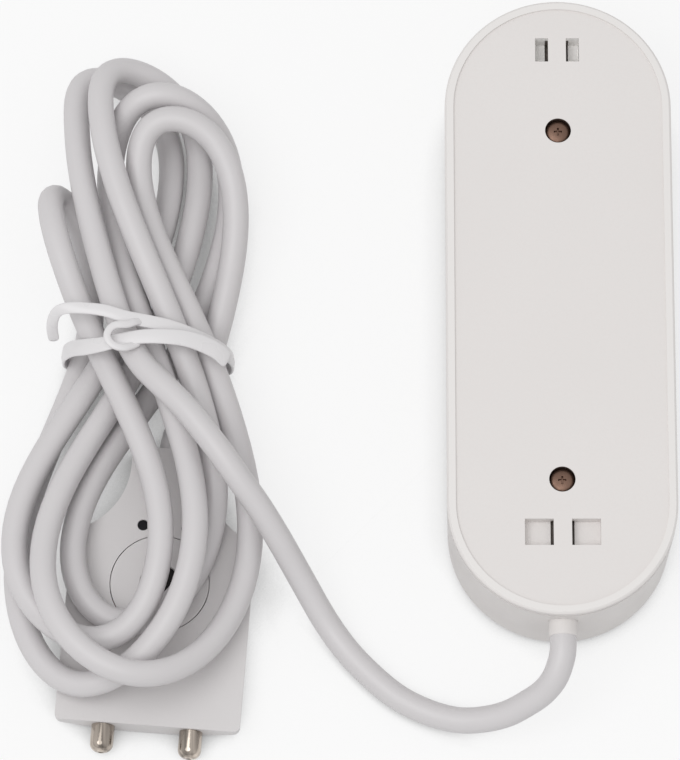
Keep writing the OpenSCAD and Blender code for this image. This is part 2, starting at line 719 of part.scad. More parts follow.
// Cell with its button at the plate on the given side
module cell(x, s) {
    translate([x, s * nest_half, cell_z])
        rotate([s * 90, 0, 0]) {
            translate([0, 0, cell_gap])
                cylinder(d = nub_d, h = nub_h + eps);
            translate([0, 0, cell_gap + nub_h])
                cylinder(d = cell_d, h = cell_length - nub_h);
        }
}

module battery_left() {
    color([0.25, 0.4, 0.3])
    cell(-cell_x, 1);
}

module battery_right() {
    color([0.25, 0.4, 0.3])
    cell(cell_x, -1);
}

module battery_plates() {
    color([0.8, 0.8, 0.78])
    for (s = [-1, 1]) {
        translate([s * cell_x - plate_size / 2, nest_half, cell_z - plate_size / 2])
            cube([plate_size, plate_thick, plate_size - 1]);
        translate([-cell_x - plate_size / 2, -nest_half - plate_thick, cell_z - plate_size / 2])
            cube([2 * cell_x + plate_size, plate_thick, plate_size - 1]);
    }
}

// Cone spring from the plate to the flat end of a cell
module cell_spring(x, s) {
    foot = nest_half - spring_wire / 2 - cell_gap;
    run = spring_room - spring_wire - 2 * cell_gap;
    n = 8 * spring_turns;
    p = [for (i = [0 : n]) let (r = mix(spring_foot, spring_top, i / n), a = 45 * i)
        [x + r * cos(a), s * (foot - run * i / n), cell_z - 0.5 + r * sin(a)]];
    tube(p, spring_wire, 6, [0, 1, 0], unit(p[1] - p[0]), unit(p[n] - p[n - 1]));
}

module battery_springs() {
    color([0.75, 0.75, 0.72])
    union() {
        cell_spring(-cell_x, -1);
        cell_spring(cell_x, 1);
    }
}

module wire_header() {
    color([0.92, 0.9, 0.84])
    translate([-header_width / 2, header_y - header_depth / 2, board_top])
        cube([header_width, header_depth, header_height]);
}

module lead_wires() {
    color([0.6, 0.15, 0.12])
    for (s = [-1, 1]) {
        translate([s * wire_pitch / 2, header_y, exit_z]) {
            rotate([90, 0, 0])
                cylinder(d = wire_d, h = flange_y + header_y);
            sphere(d = wire_d);
            translate([0, 0, board_top + header_height - exit_z])
                cylinder(d = wire_d, h = exit_z - board_top - header_height);
        }
    }
}

module cable_gland() {
    color([0.84, 0.84, 0.83])
    translate([0, 0, exit_z])
        rotate([90, 0, 0]) {
            translate([0, 0, flange_y])
                cylinder(d = gland_flange_d, h = gland_flange);
            translate([0, 0, flange_y + eps])
                cylinder(d = gland_d, h = gland_end - flange_y - eps);
        }
}

module cord_lead() {
    path = concat([lead_points[0], lead_points[1]],
        smooth([for (i = [2 : len(lead_points) - 2]) lead_points[i]], 3), [lead_end]);
    near = [for (p = path) if (norm(p - lead_end) > 1.5 * cord_d) p];
    far = [for (p = hank_points) if (norm(p - lead_end) > 1.5 * cord_d) p];
    echo(str("free cord to hank, least gap ", cross_gap(near, far, cord_d)));
    color([0.87, 0.87, 0.86])
    tube(path, cord_d, 10, [0, 0, 1], [0, -1, 0], lead_dir);
}

module cord_hank() {
    echo(str("hank to itself, least gap ", self_gap(hank_points, cord_d)));
    color([0.87, 0.87, 0.86])
    tube(hank_points, cord_d, 6, [0, 0, 1], lead_dir, neck_dir);
}

module twist_tie() {
    path = smooth(tie_points, 2);
    out = [for (o = smooth(tie_sides, 2)) [o[0], 0, o[1]]];
    color([0.96, 0.96, 0.96])
    translate([hank_x, hank_y, 0])
        strip(path, out, tie_width, tie_thick);
}

module tie_knot() {
    color([0.96, 0.96, 0.96])
    translate([hank_x, hank_y, 0] + knot_at)
        rotate_extrude()
            translate([knot_r, 0])
                circle(d = knot_wire);
}

// Carries probe pieces to their place on the table
module at_probe() {
    translate([probe_x, probe_y, 0])
        rotate(probe_turn)
            children();
}

// Bottle outline of the probe between two heights
module probe_form(z0, z1) {
    difference() {
        union() {
            translate([-probe_half, probe_corner, z0])
                cube([probe_width, probe_length - probe_corner, z1 - z0]);
            translate([probe_corner - probe_half, 0, z0])
                cube([probe_width - 2 * probe_corner, probe_length, z1 - z0]);
            for (s = [-1, 1]) {
                translate([s * (probe_half - probe_corner), probe_corner, z0])
                    cylinder(r = probe_corner, h = z1 - z0);
            }
        }
        for (s = [-1, 1]) {
            translate([s * shoulder_x, shoulder_y, z0 - eps])
                cylinder(r = shoulder_r, h = z1 - z0 + 2 * eps);
            translate([s * shoulder_x - shoulder_r, shoulder_y, z0 - eps])
                cube([2 * shoulder_r, shoulder_back + eps, z1 - z0 + 2 * eps]);
        }
    }
}

module probe_base() {
    color([0.84, 0.84, 0.83])
    at_probe()
        difference() {
            intersection() {
                probe_form(0, probe_split);
                translate([0, probe_length + 1, bow_r])
                    rotate([90, 0, 0])
                        cylinder(r = bow_r, h = probe_length + 2, $fn = 200);
            }
            translate([0, cap_along, magnet_floor])
                cylinder(d = magnet_d + 2 * thread_gap, h = probe_height);
            for (s = [-1, 1]) {
                translate([s * pin_pitch / 2 - channel / 2, pin_root, channel_floor])
                    cube([channel, elbow_y - pin_root + channel / 2, probe_height]);
                translate([s * pin_pitch / 2, elbow_y, channel_floor])
                    rotate(s * atan2(wire_run[0], wire_run[1]))
                        translate([-channel / 2, 0, 0])
                            cube([channel, norm(wire_run) + 1, probe_height]);
                translate([s * pin_pitch / 2, -eps, pin_z])
                    rotate([-90, 0, 0])
                        cylinder(d = pin_root_d + 2 * thread_gap, h = pin_root + 2 * eps);
                translate([s * probe_screw_pitch / 2, probe_screw_along, probe_split - probe_shank])
                    cylinder(d = probe_shank_d + 2 * thread_gap, h = probe_height);
            }
            translate([0, core_y, pin_z])
                rotate([-90, 0, 0])
                    cylinder(d = core_d + 2 * thread_gap, h = core_length + eps);
            translate([-wire_pitch, core_y - 2, channel_floor])
                cube([2 * wire_pitch, 2 + eps, probe_height]);
        }
}

module probe_cover() {
    color([0.9, 0.9, 0.89])
    at_probe()
        difference() {
            probe_form(probe_split, probe_height);
            translate([0, cap_along, probe_split - eps])
                cylinder(d = cap_d + 2 * cap_gap, h = probe_height);
            for (s = [-1, 1]) {
                translate([s * probe_screw_pitch / 2, probe_screw_along, 0]) {
                    translate([0, 0, probe_split - eps])
                        cylinder(d = probe_shank_d + 2 * thread_gap, h = probe_height);
                    translate([0, 0, probe_height - probe_head_sink - probe_head_h])
                        cylinder(d = probe_head_d + 2 * thread_gap, h = probe_height);
                }
            }
        }
}

module probe_cap() {
    color([0.9, 0.9, 0.89])
    at_probe()
        translate([0, cap_along, probe_split])
            difference() {
                cylinder(d = cap_d, h = probe_cover_thick);
                translate([0, 0, -eps])
                    cylinder(d = cap_hole_d, h = probe_cover_thick + 2 * eps);
            }
}

module probe_magnet() {
    color([0.16, 0.16, 0.17])
    at_probe()
        translate([0, cap_along, magnet_floor])
            cylinder(d = magnet_d, h = magnet_h);
}

// Round end of a pin
module round_tip(r, edge) {
    cylinder(r = r - edge, h = edge);
    rotate_extrude()
        translate([r - edge, 0])
            intersection() {
                circle(r = edge);
                square(edge);
            }
}

module probe_pins() {
    color([0.75, 0.73, 0.7])
    at_probe()
        for (s = [-1, 1]) {
            translate([s * pin_pitch / 2, 0, pin_z])
                rotate([90, 0, 0])
                    difference() {
                        union() {
                            cylinder(d = pin_d, h = pin_reach - pin_round);
                            translate([0, 0, pin_reach - pin_round])
                                round_tip(pin_d / 2, pin_round);
                            translate([0, 0, -pin_root])
                                cylinder(d = pin_root_d, h = pin_root + eps);
                        }
                        translate([0, 0, pin_reach - dimple_d / 4])
                            cylinder(d1 = 0.2, d2 = dimple_d, h = dimple_d / 4 + eps);
                    }
        }
}

module probe_screws() {
    color([0.1, 0.1, 0.1])
    at_probe()
        for (s = [-1, 1]) {
            translate([s * probe_screw_pitch / 2, probe_screw_along, probe_height - probe_head_sink]) {
                translate([0, 0, -probe_head_h])
                    cylinder(d = probe_head_d, h = probe_head_h);
                translate([0, 0, -probe_head_h - probe_shank])
                    cylinder(d = probe_shank_d, h = probe_shank + eps);
            }
        }
}

module probe_core() {
    color([0.8, 0.8, 0.8])
    at_probe()
        translate([0, core_y, pin_z])
            rotate([-90, 0, 0])
                cylinder(d = core_d, h = core_length);
}

module probe_wires() {
    color([0.6, 0.15, 0.12])
    at_probe()
        for (s = [-1, 1]) {
            translate([s * pin_pitch / 2, elbow_y, pin_z]) {
                rotate([90, 0, 0])
                    cylinder(d = probe_wire_d, h = elbow_y - pin_root);
                sphere(d = probe_wire_d * 1.2);
                rotate([-90, 0, s * atan2(wire_run[0], wire_run[1])])
                    cylinder(d = probe_wire_d, h = norm(wire_run) - probe_wire_d / 2);
            }
        }
}

front_shell();
back_cover();
cover_screws();
main_board();
board_screws();
radio_module();
tact_switch();
pairing_button();
status_led();
light_pipe();
battery_tray();
battery_left();
battery_right();
battery_plates();
battery_springs();
wire_header();
lead_wires();
cable_gland();
cord_lead();
cord_hank();
twist_tie();
tie_knot();
probe_base();
probe_cover();
probe_cap();
probe_magnet();
probe_pins();
probe_screws();
probe_core();
probe_wires();
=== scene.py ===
import json
import math

import bmesh
import bpy
from mathutils import Matrix, Vector


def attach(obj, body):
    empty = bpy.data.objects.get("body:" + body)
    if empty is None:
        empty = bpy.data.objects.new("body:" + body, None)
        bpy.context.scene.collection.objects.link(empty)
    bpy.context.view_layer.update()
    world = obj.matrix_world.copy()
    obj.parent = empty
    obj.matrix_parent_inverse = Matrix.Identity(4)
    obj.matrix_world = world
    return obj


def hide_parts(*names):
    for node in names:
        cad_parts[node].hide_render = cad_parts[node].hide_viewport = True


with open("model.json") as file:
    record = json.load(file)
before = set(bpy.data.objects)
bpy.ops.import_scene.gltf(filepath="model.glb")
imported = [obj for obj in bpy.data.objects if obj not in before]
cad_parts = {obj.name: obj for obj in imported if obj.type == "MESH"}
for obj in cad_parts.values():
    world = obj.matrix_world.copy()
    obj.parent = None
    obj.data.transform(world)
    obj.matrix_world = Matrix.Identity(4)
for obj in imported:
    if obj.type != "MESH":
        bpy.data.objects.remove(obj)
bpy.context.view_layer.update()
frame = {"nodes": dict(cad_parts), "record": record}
MM = 0.001


def show(thing):
    """Puts an object into the scene."""
    bpy.context.scene.collection.objects.link(thing)
    return thing


# Camera at the photograph's angle off straight down, with a long lens about 0.97 m away
CAMERA_AT = (-0.03661, -0.3056, 0.9197)
CAMERA_TILT = 18
CAMERA_LENS = 270.5
SENSOR_WIDTH = 36
NEAREST = 0.05
FARTHEST = 20

camera = show(bpy.data.objects.new("camera", bpy.data.cameras.new("camera")))
camera.data.sensor_fit = "AUTO"
camera.data.sensor_width = SENSOR_WIDTH
camera.data.lens = CAMERA_LENS
camera.data.clip_start = NEAREST
camera.data.clip_end = FARTHEST
camera.location = CAMERA_AT
camera.rotation_euler = (math.radians(CAMERA_TILT), 0, 0)
bpy.context.scene.camera = camera
bpy.context.scene.view_settings.view_transform = "Standard"


# Curves by formula, in millimetres
def mix(a, b, t):
    """Value between two others, by its share of the way."""
    return a + (b - a) * t


def hermite(a, b, ma, mb, t):
    """Value on a cubic from a to b with a slope at each."""
    return (a * (2 * t ** 3 - 3 * t * t + 1) + ma * (t ** 3 - 2 * t * t + t)
            + b * (3 * t * t - 2 * t ** 3) + mb * (t ** 3 - t * t))


def smooth(p, steps):
    """Row of points with steps between each two."""
    n = len(p) - 1
    row = []
    for i in range(n):
        ma = (p[i + 1] - p[max(i - 1, 0)]) / 2
        mb = (p[min(i + 2, n)] - p[i]) / 2
        row += [hermite(p[i], p[i + 1], ma, mb, k / steps) for k in range(steps)]
    return row + [p[n]]


def bridge(a, b, da, db, steps):
    """Points from one place to another with a direction at each."""
    d = (b - a).length
    return [hermite(a, b, da * d, db * d, k / steps) for k in range(steps)]


def vectors(rows):
    return [Vector(row) for row in rows]


def circle(count):
    """Angles of a whole turn in even steps."""
    return [2 * math.pi * k / count for k in range(count)]


# Cord: free length from the unit to the hank, then the hank's nine lobes, then the probe's neck
CORD_D = 4.4
CORD_RESOLUTION = 6
EXIT = Vector((0, -56.2, 15.7))
NECK = Vector((-64.784, -20.498, 2.6))
NECK_DIR = Vector((-0.0785, -0.9969, 0))
HANK = Vector((-68.5, -3.5, 0.9))
# Free length: steps away from the unit's exit, then places along the table and up to the hank
LEAD_DROP = (
    (0, 0, 0), (0, -2.2, 0), (-0.3, -3.8, -0.4), (-1.3, -6.3, -1.9),
    (-3.2, -8.2, -4.3), (-6, -9.6, -6.7), (-9.2, -10.7, -9), (-13, -11.1, -11),
)
LEAD_RUN = (
    (-17.1, -67, 3.2), (-21.7, -65.6, 2.4), (-26.7, -63.1, 2.3), (-31.1, -59.5, 2.3),
    (-35.3, -55.1, 2.5), (-39.1, -50, 3.8), (-43.3, -43.4, 7.6), (-47, -37.8, 11.8),
    (-50.3, -33.2, 15), (-53.5, -29.2, 17.3), (-56.4, -25.3, 18.7), (-59.3, -21.5, 19.2),
    (-60.6, -19.8, 19.2), (-62, -18, 19.2),
)
LEAD = [EXIT + step for step in vectors(LEAD_DROP)] + vectors(LEAD_RUN)
LEAD_STEPS = 6
BRIDGE_STEPS = 14
# Strands in the waist: place across it and height
UPPER = ((-9.6, 11.5), (-4.6, 14.6), (-0.4, 11.7), (5, 13.2), (9.3, 9.8))
LOWER = ((-9.9, 2.3), (-5.4, 6.2), (0.4, 5.4), (5.7, 2.4), (10.5, 4.8))
# Lobes in cord order: side, place in, place out, reach, tip, belly in, belly out, three heights
LOBES = (
    (1, UPPER[1], LOWER[1], 49.5, -9, 4.84, 11.03, 9.81, 3.98, 2.53),
    (-1, LOWER[1], UPPER[0], 51.9, -8.5, 14.51, 11, 9.96, 10.46, 13.42),
    (1, UPPER[0], LOWER[0], 27, -16, 2.05, 2.59, 11.91, 6.26, 3.1),
    (-1, LOWER[0], UPPER[2], 58.9, -9.5, 12.18, 13.69, 4.38, 8.27, 14.3),
    (1, UPPER[2], LOWER[3], 43.5, 1.5, 8.11, 10.54, 6.85, 13.38, 4.66),
    (-1, LOWER[3], UPPER[3], 48, -3.5, 11.64, 10.99, 6.9, 7.05, 7.09),
    (1, UPPER[3], LOWER[2], 49.5, -4, 6.51, 10.63, 14.69, 8.41, 4.08),
    (-1, LOWER[2], UPPER[4], 59, -1, 16.43, 13.66, 14.21, 15.15, 6.88),
    (1, UPPER[4], LOWER[4], 38.5, 3.5, 7.05, 8.31, 10.86, 14.77, 10.68),
)
LOBE_STEPS = 60
# Angles along a lobe in degrees: a quarter, the tip, the end, and a short way for directions
QUARTER = 45
TIP = 90
END = 180
SHORT = 2
LOWER_SWELL = 0.08
HEIGHT_EASE = 0.75
# Easing of the cord, counted in its points: where stretches meet, and at the tight turns
LEAD_TURN = 9
EASE_REACH = 6
EASE_SHARE = 0.5
JOIN_ROUNDS = 24
TURN_ROUNDS = 16


def lobe_point(lobe, angle):
    """Point of a lobe by its angle in degrees, from one place in the waist to the next."""
    side, start, end, reach, tip, belly_in, belly_out = lobe[:7]
    a = math.radians(angle)
    t = min(1, max(0, (angle - QUARTER) / (2 * QUARTER)))
    belly = mix(belly_in, belly_out, t * t * (3 - 2 * t))
    swell = math.sin(2 * a) + (LOWER_SWELL * math.sin(4 * a) if side < 0 else 0)
    x = mix((start if angle <= TIP else end)[0], tip, math.sin(a)) - swell * belly
    h = (start[1],) + lobe[7:] + (end[1],)
    last = len(h) - 1
    slope = [HEIGHT_EASE * (h[min(k + 1, last)] - h[max(k - 1, 0)]) for k in range(last + 1)]
    i = min(last - 1, int(angle / QUARTER))
    z = hermite(h[i], h[i + 1], slope[i], slope[i + 1], angle / QUARTER - i)
    return HANK + Vector((x, side * reach * math.sin(a), z))


def cord_route():
    """Points of the whole cord, where one stretch runs into the next, and the tight turns."""
    lead_dir = (LEAD[-1] - LEAD[-2]).normalized()
    start, end = lobe_point(LOBES[0], 0), lobe_point(LOBES[-1], END)
    hank_in = (lobe_point(LOBES[0], SHORT) - start).normalized()
    hank_out = (end - lobe_point(LOBES[-1], END - SHORT)).normalized()
    points = smooth(LEAD, LEAD_STEPS)[:-1]
    joins = [len(points)]
    turns = [LEAD_TURN]
    points += bridge(LEAD[-1], start, lead_dir, hank_in, BRIDGE_STEPS)
    for lobe in LOBES:
        joins.append(len(points))
        if lobe[0] > 0:
            turns.append(len(points) + LOBE_STEPS // 2)
        points += [lobe_point(lobe, END * k / LOBE_STEPS) for k in range(LOBE_STEPS)]
    joins.append(len(points))
    points += bridge(end, NECK, hank_out, NECK_DIR, BRIDGE_STEPS) + [NECK]
    return points, joins, turns


def relax(points, places, rounds):
    """Eases the cord round some of its points and leaves the rest of it alone."""
    ease = [max(math.exp(-((i - j) / EASE_REACH) ** 2) for j in places)
            for i in range(len(points))]
    for _ in range(rounds):
        inner = [mix(p, (points[i] + points[i + 2]) / 2, EASE_SHARE * ease[i + 1])
                 for i, p in enumerate(points[1:-1])]
        points = [points[0]] + inner + [points[-1]]
    return points


route, joins, turns = cord_route()
route = relax(relax(route, joins, JOIN_ROUNDS), turns, TURN_ROUNDS)
curve = bpy.data.curves.new("cord", "CURVE")
curve.dimensions = "3D"
curve.bevel_depth = CORD_D / 2 * MM
curve.bevel_resolution = CORD_RESOLUTION
curve.use_fill_caps = True
spline = curve.splines.new("POLY")
spline.points.add(len(route) - 1)
for point, place in zip(spline.points, route):
    point.co = (*(place * MM), 1)
spline.use_smooth = True
cord = show(bpy.data.objects.new("cord", curve))


# Swept, turned, drawn and boxed forms in millimetres
SHARP_ANGLE = 35
TURN_SIDES = 48
BLOCK_SEGMENTS = 2
THREAD_SIDES = 20
THREAD_STEPS = 8
THREAD_FLANK = 1.6
THREAD_POINT = 0.2
THREAD_TAPER = (0.35, 1)
WIRE_SIDES = 10
WIRE_SIDE = Vector((0.31, 0.2, 0.93))


class Form:
    """Mesh of one piece; each face carries the number of its look."""

    def __init__(self):
        self.bm = bmesh.new()

    def loop(self, place, points):
        return [self.bm.verts.new((place @ Vector(p)) * MM) for p in points]

    def cap(self, loop, look=0):
        self.bm.faces.new(loop).material_index = look

    def skin(self, a, b, look=0):
        """Faces between two loops, one of which may be a single point."""
        count = max(len(a), len(b))
        for k in range(count):
            j = (k + 1) % count
            corners = [a[k % len(a)], a[j % len(a)], b[j % len(b)], b[k % len(b)]]
            self.cap([v for n, v in enumerate(corners) if v not in corners[:n]], look)

    def rod(self, loops):
        """Skin along a row of loops with both ends closed."""
        for a, b in zip(loops, loops[1:]):
            self.skin(a, b)
        self.cap(loops[0])
        self.cap(loops[-1])

    def sweep(self, path, sides, section):
        """Section swept along a path; section(i) gives pairs of across and out."""
        loops = []
        for i, p in enumerate(path):
            along = (path[min(i + 1, len(path) - 1)] - path[max(i - 1, 0)]).normalized()
            across = along.cross(sides[i]).normalized()
            out = across.cross(along)
            loops.append(self.loop(Matrix(), [p + across * u + out * v for u, v in section(i)]))
        self.rod(loops)

    def tube(self, path, radius):
        """Round wire along a row of points."""
        loops = []
        side = WIRE_SIDE
        for i, p in enumerate(path):
            along = (path[min(i + 1, len(path) - 1)] - path[max(i - 1, 0)]).normalized()
            across = along.cross(side).normalized()
            side = across.cross(along)
            loops.append(self.loop(Matrix(), [
                p + (across * math.cos(a) + side * math.sin(a)) * radius
                for a in circle(WIRE_SIDES)]))
        self.rod(loops)

    def turn(self, place, profile, sides=TURN_SIDES):
        """Turned shape along the place's own Z; profile rows are radius, height and look."""
        loops = []
        for radius, height, _ in profile:
            angles = circle(sides) if radius else [0]
            loops.append(self.loop(place, [
                (radius * math.cos(a), radius * math.sin(a), height) for a in angles]))
        for row, a, b in zip(profile, loops, loops[1:]):
            self.skin(a, b, row[2])

    def thread(self, place, radius, depth, pitch, low, high):
        """Screw thread along the place's own Z, drawn in to a point at its low end."""
        count = round((high - low) / pitch * THREAD_STEPS)
        loops = []
        for i in range(count + 1):
            z = mix(low, high, i / count)
            body = min(1, mix(*THREAD_TAPER, (z - low) / (2 * pitch)))
            ring = []
            for a in circle(THREAD_SIDES):
                ridge = abs(((z / pitch - a / (2 * math.pi)) % 1) * 2 - 1)
                r = radius * body - depth * min(1, ridge * THREAD_FLANK)
                ring.append((r * math.cos(a), r * math.sin(a), z))
            loops.append(self.loop(place, ring))
        for a, b in zip(loops, loops[1:]):
            self.skin(a, b)
        self.skin(self.loop(place, [(0, 0, low - THREAD_POINT)]), loops[0])
        self.skin(loops[-1], self.loop(place, [(0, 0, high)]))

    def block(self, middle, size, edge, look=0):
        """Box with softened edges."""
        corners = bmesh.ops.create_cube(self.bm, size=1)["verts"]
        bmesh.ops.scale(self.bm, verts=corners, vec=Vector(size) * MM)
        bmesh.ops.translate(self.bm, verts=corners, vec=Vector(middle) * MM)
        edges = {e for v in corners for e in v.link_edges}
        for face in {f for v in corners for f in v.link_faces}:
            face.material_index = look
        soft = bmesh.ops.bevel(
            self.bm, geom=list(edges), offset=edge * MM, segments=BLOCK_SEGMENTS, profile=0.5,
            affect="EDGES", clamp_overlap=True)
        for face in soft["faces"]:
            face.material_index = look

    def piece(self, name, sharp=SHARP_ANGLE):
        """Object of the form; edges that turn by more than the sharp angle stay sharp."""
        bmesh.ops.recalc_face_normals(self.bm, faces=self.bm.faces)
        for face in self.bm.faces:
            face.smooth = True
        mesh = bpy.data.meshes.new(name)
        self.bm.to_mesh(mesh)
        self.bm.free()
        if sharp:
            mesh.set_sharp_from_angle(angle=math.radians(sharp))
        return show(bpy.data.objects.new(name, mesh))


def carve(piece, cutter):
    """Takes the cutter's form out of the piece."""
    cut = piece.modifiers.new("cut", "BOOLEAN")
    cut.object = cutter
    cut.operation = "DIFFERENCE"
    cut.solver = "EXACT"
    graph = bpy.context.evaluated_depsgraph_get()
    carved = bpy.data.meshes.new_from_object(piece.evaluated_get(graph))
    piece.modifiers.clear()
    piece.data = carved
    carved.name = piece.name
    bpy.data.objects.remove(cutter)


def at(x, y, z, axis=(0, 0, 1)):
    """Place of a form, with its own Z turned to an axis."""
    turn = Vector((0, 0, 1)).rotation_difference(Vector(axis))
    return Matrix.Translation((x, y, z)) @ turn.to_matrix().to_4x4()


# Twist tie: a flat coated wire round the waist with two free ends, and its twisted ring
TIE_AT = Vector((HANK.x, HANK.y, 0))
TIE_POINTS = vectors((
    (-16, -0.3, 12.5), (-16.2, 1.2, 15.5), (-15.5, 2.6, 17.8), (-13.8, 3.1, 19),
    (-10.6, 3, 19.4), (-7.2, 2.5, 19.6), (-3.9, 1.5, 19.4), (-0.4, 0.9, 18.9),
    (3.2, 0.3, 18.1), (6.4, -0.5, 16.9), (9.5, -1.4, 15.2), (12, -2.1, 12.9),
    (13.5, -2.4, 9.5), (13.8, -2.3, 6), (13.3, -1.9, 2.8), (11.8, -1.4, 1), (9, -1, 0.5),
    (4, -0.7, 0.45), (-1, -0.4, 0.45), (-6, -0.5, 0.45), (-9.8, -0.6, 0.42),
    (-13.1, -0.7, 0.75), (-14.6, -0.8, 3.2), (-14.5, -1, 7), (-13.7, -1.5, 10.5),
    (-12.4, -2.1, 13.6), (-10.3, -2.8, 16.4), (-7.6, -3, 18.4), (-4.7, -2.6, 19.4),
    (-1.2, -2.1, 19.7), (2.6, -2, 19.5), (6, -2.1, 18.8), (9, -2.7, 17.7),
    (11.4, -3.6, 16.5), (13.2, -4.8, 15.1),
))
# Way that the band's outer face looks at each of its points
TIE_SIDES = vectors((
    (0.06, -0.89, 0.45), (-0.1, -0.8, 0.5), (-0.37, -0.68, 0.63), (-0.27, -0.34, 0.9),
))
TIE_SIDES += [Vector((x, 0, z)) for x, z in (
    (0, 1), (0, 1), (0, 1), (0.1, 1), (0.2, 1), (0.4, 1), (0.6, 0.8), (0.85, 0.5), (1, 0.1),
    (1, 0), (1, -0.3), (0.6, -0.8), (0, -1), (0, -1), (0, -1), (0, -1), (0, -1), (-0.7, -0.7),
    (-1, -0.2), (-1, 0), (-1, 0.1), (-0.8, 0.6), (-0.5, 0.85), (-0.2, 1), (0, 1), (0, 1),
    (0.1, 1), (0.2, 1), (0.3, 1), (0.4, 1), (0.5, 1),
)]
# Width of the band by the number of the point along it
TIE_WIDTHS = ((0, 1.9), (3, 1.9), (6, 2.2), (10, 2.6), (22, 2.7), (26, 2.9), (28, 2.3), (30, 2.6),
              (32, 3), (34, 3.2))
TIE_THICK = 0.6
TIE_BULGE = 0.1
RING_POINTS = vectors((
    (-1.4, 0.8, 19), (-2.3, 0.35, 19.9), (-3.4, -0.2, 20.5), (-4.5, -0.35, 20.85),
    (-5.5, -0.55, 20.95), (-6.35, -1.2, 21), (-6.75, -2.3, 21), (-6.35, -3.4, 20.95),
    (-5.4, -4.1, 20.85), (-4.2, -4.3, 20.6), (-3.2, -4, 20.1), (-2.4, -3.5, 19.5),
    (-1.6, -2.9, 19),
))
RING_SIDE = Vector((0, 0, 1))
RING_WIDTH = 1.25
RING_THICK = 0.8
RING_BULGE = 0.06
STRIP_STEPS = 6
STRIP_SIDES = 20
STRIP_CORNER = 0.6
STRIP_WIRE = 0.22
STRIP_ROUND = 2


def strip_section(width, thick, bulge):
    """Flat band with soft edges and the wire showing as a low ridge along its middle."""
    row = []
    for a in circle(STRIP_SIDES):
        u = math.copysign(abs(math.cos(a)) ** STRIP_CORNER, math.cos(a)) * width / 2
        v = math.copysign(abs(math.sin(a)) ** STRIP_CORNER, math.sin(a)) * thick / 2
        ridge = bulge * math.exp(-(u / (STRIP_WIRE * width)) ** 2) * math.sin(a)
        row.append((u, v + ridge))
    return row


def strip(name, points, sides, width, thick, bulge):
    """Band along points, rounded off at both ends; width depends on the place along it."""
    path = [TIE_AT + p for p in smooth(points, STRIP_STEPS)]
    sides = [side.normalized() for side in smooth(sides, STRIP_STEPS)]

    def section(i):
        k = min(i, len(path) - 1 - i, STRIP_ROUND)
        share = math.sqrt(1 - (1 - (k + 1) / (STRIP_ROUND + 1)) ** 2)
        return strip_section(width(i / STRIP_STEPS) * share, thick * share, bulge)

    band = Form()
    band.sweep(path, sides, section)
    return band.piece(name, sharp=None)


def tie_width(place):
    for (a, wide_a), (b, wide_b) in zip(TIE_WIDTHS, TIE_WIDTHS[1:]):
        if place <= b:
            return mix(wide_a, wide_b, (place - a) / (b - a))


def ring_width(place):
    return RING_WIDTH


tie = strip("tie_band", TIE_POINTS, TIE_SIDES, tie_width, TIE_THICK, TIE_BULGE)
knot = strip("tie_ring", RING_POINTS, [RING_SIDE] * len(RING_POINTS), ring_width, RING_THICK,
             RING_BULGE)

# Cover screws: pan heads with a small cross, threaded shanks
SCREW_Y = 30.6
WELL_Z = 17.0
HEAD_R = 2.1
HEAD_TOP = 20.05
HEAD_CHAMFER = 0.1
# Rounding of the head: how far in from its side and down from its top
HEAD_ROUND = ((0, 0.6), (0.05, 0.42), (0.2, 0.26), (0.6, 0.12), (1.2, 0.03))
# Cross: one corner of its outline by share of its reach, then reach and height at foot and top
CROSS_CORNER = ((1, 0.24), (0.24, 0.24), (0.24, 1))
CROSS_ENDS = ((0.5, HEAD_TOP - 0.4), (0.78, HEAD_TOP + 0.2))
SHANK_R = 1.25
SHANK_LENGTH = 8
SHANK_IN_HEAD = 0.05
THREAD_DEPTH = 0.28
THREAD_PITCH = 0.9


def cross_outline(reach, z):
    """Outline of a screw's cross at one height."""
    return [(reach * (x * c - y * s), reach * (x * s + y * c), z)
            for c, s in ((1, 0), (0, 1), (-1, 0), (0, -1)) for x, y in CROSS_CORNER]


profile = [(0, WELL_Z, 0), (HEAD_R - HEAD_CHAMFER, WELL_Z, 0), (HEAD_R, WELL_Z + HEAD_CHAMFER, 0)]
profile += [(HEAD_R - inward, HEAD_TOP - down, 0) for inward, down in HEAD_ROUND]
profile += [(0, HEAD_TOP, 0)]
form = Form()
form.turn(Matrix(), profile)
head = form.piece("head")
form = Form()
form.rod([form.loop(Matrix(), cross_outline(*end)) for end in CROSS_ENDS])
carve(head, form.piece("cross"))
form = Form()
for y in (-SCREW_Y, SCREW_Y):
    head.data.transform(Matrix.Translation((0, y * MM, 0)))
    form.bm.from_mesh(head.data)
    head.data.transform(Matrix.Translation((0, -y * MM, 0)))
    form.thread(at(0, y, 0), SHANK_R, THREAD_DEPTH, THREAD_PITCH, WELL_Z - SHANK_LENGTH,
                WELL_Z + SHANK_IN_HEAD)
bpy.data.objects.remove(head)
screws = form.piece("cover_screw_pair")

# Contact pins in the probe's edge, turned with the probe on the table
PROBE_AT = (-68.55, -68.35, 0)
PROBE_TURN = -4.5
PROBE = Matrix.Translation(PROBE_AT) @ Matrix.Rotation(math.radians(PROBE_TURN), 4, "Z")
PIN_X = 7.3
PIN_Z = 2.6
PIN_R = 1.95
PIN_REACH = 4.6
PIN_ROUND = 1.5
PIN_ROUND_STEPS = 12
PIN_EDGE = 0.06
PIN_SIDES = 56
STEM_R = 1.1
STEM_LENGTH = 6
STEM_EDGE = 0.1
# Dimple in the tip: radius at its mouth and floor, depth at its floor and middle
DIMPLE_R = 0.5
DIMPLE_FLOOR_R = 0.3
DIMPLE_EDGE = 0.03
DIMPLE_DEPTH = 0.5
DIMPLE_MIDDLE = 0.6

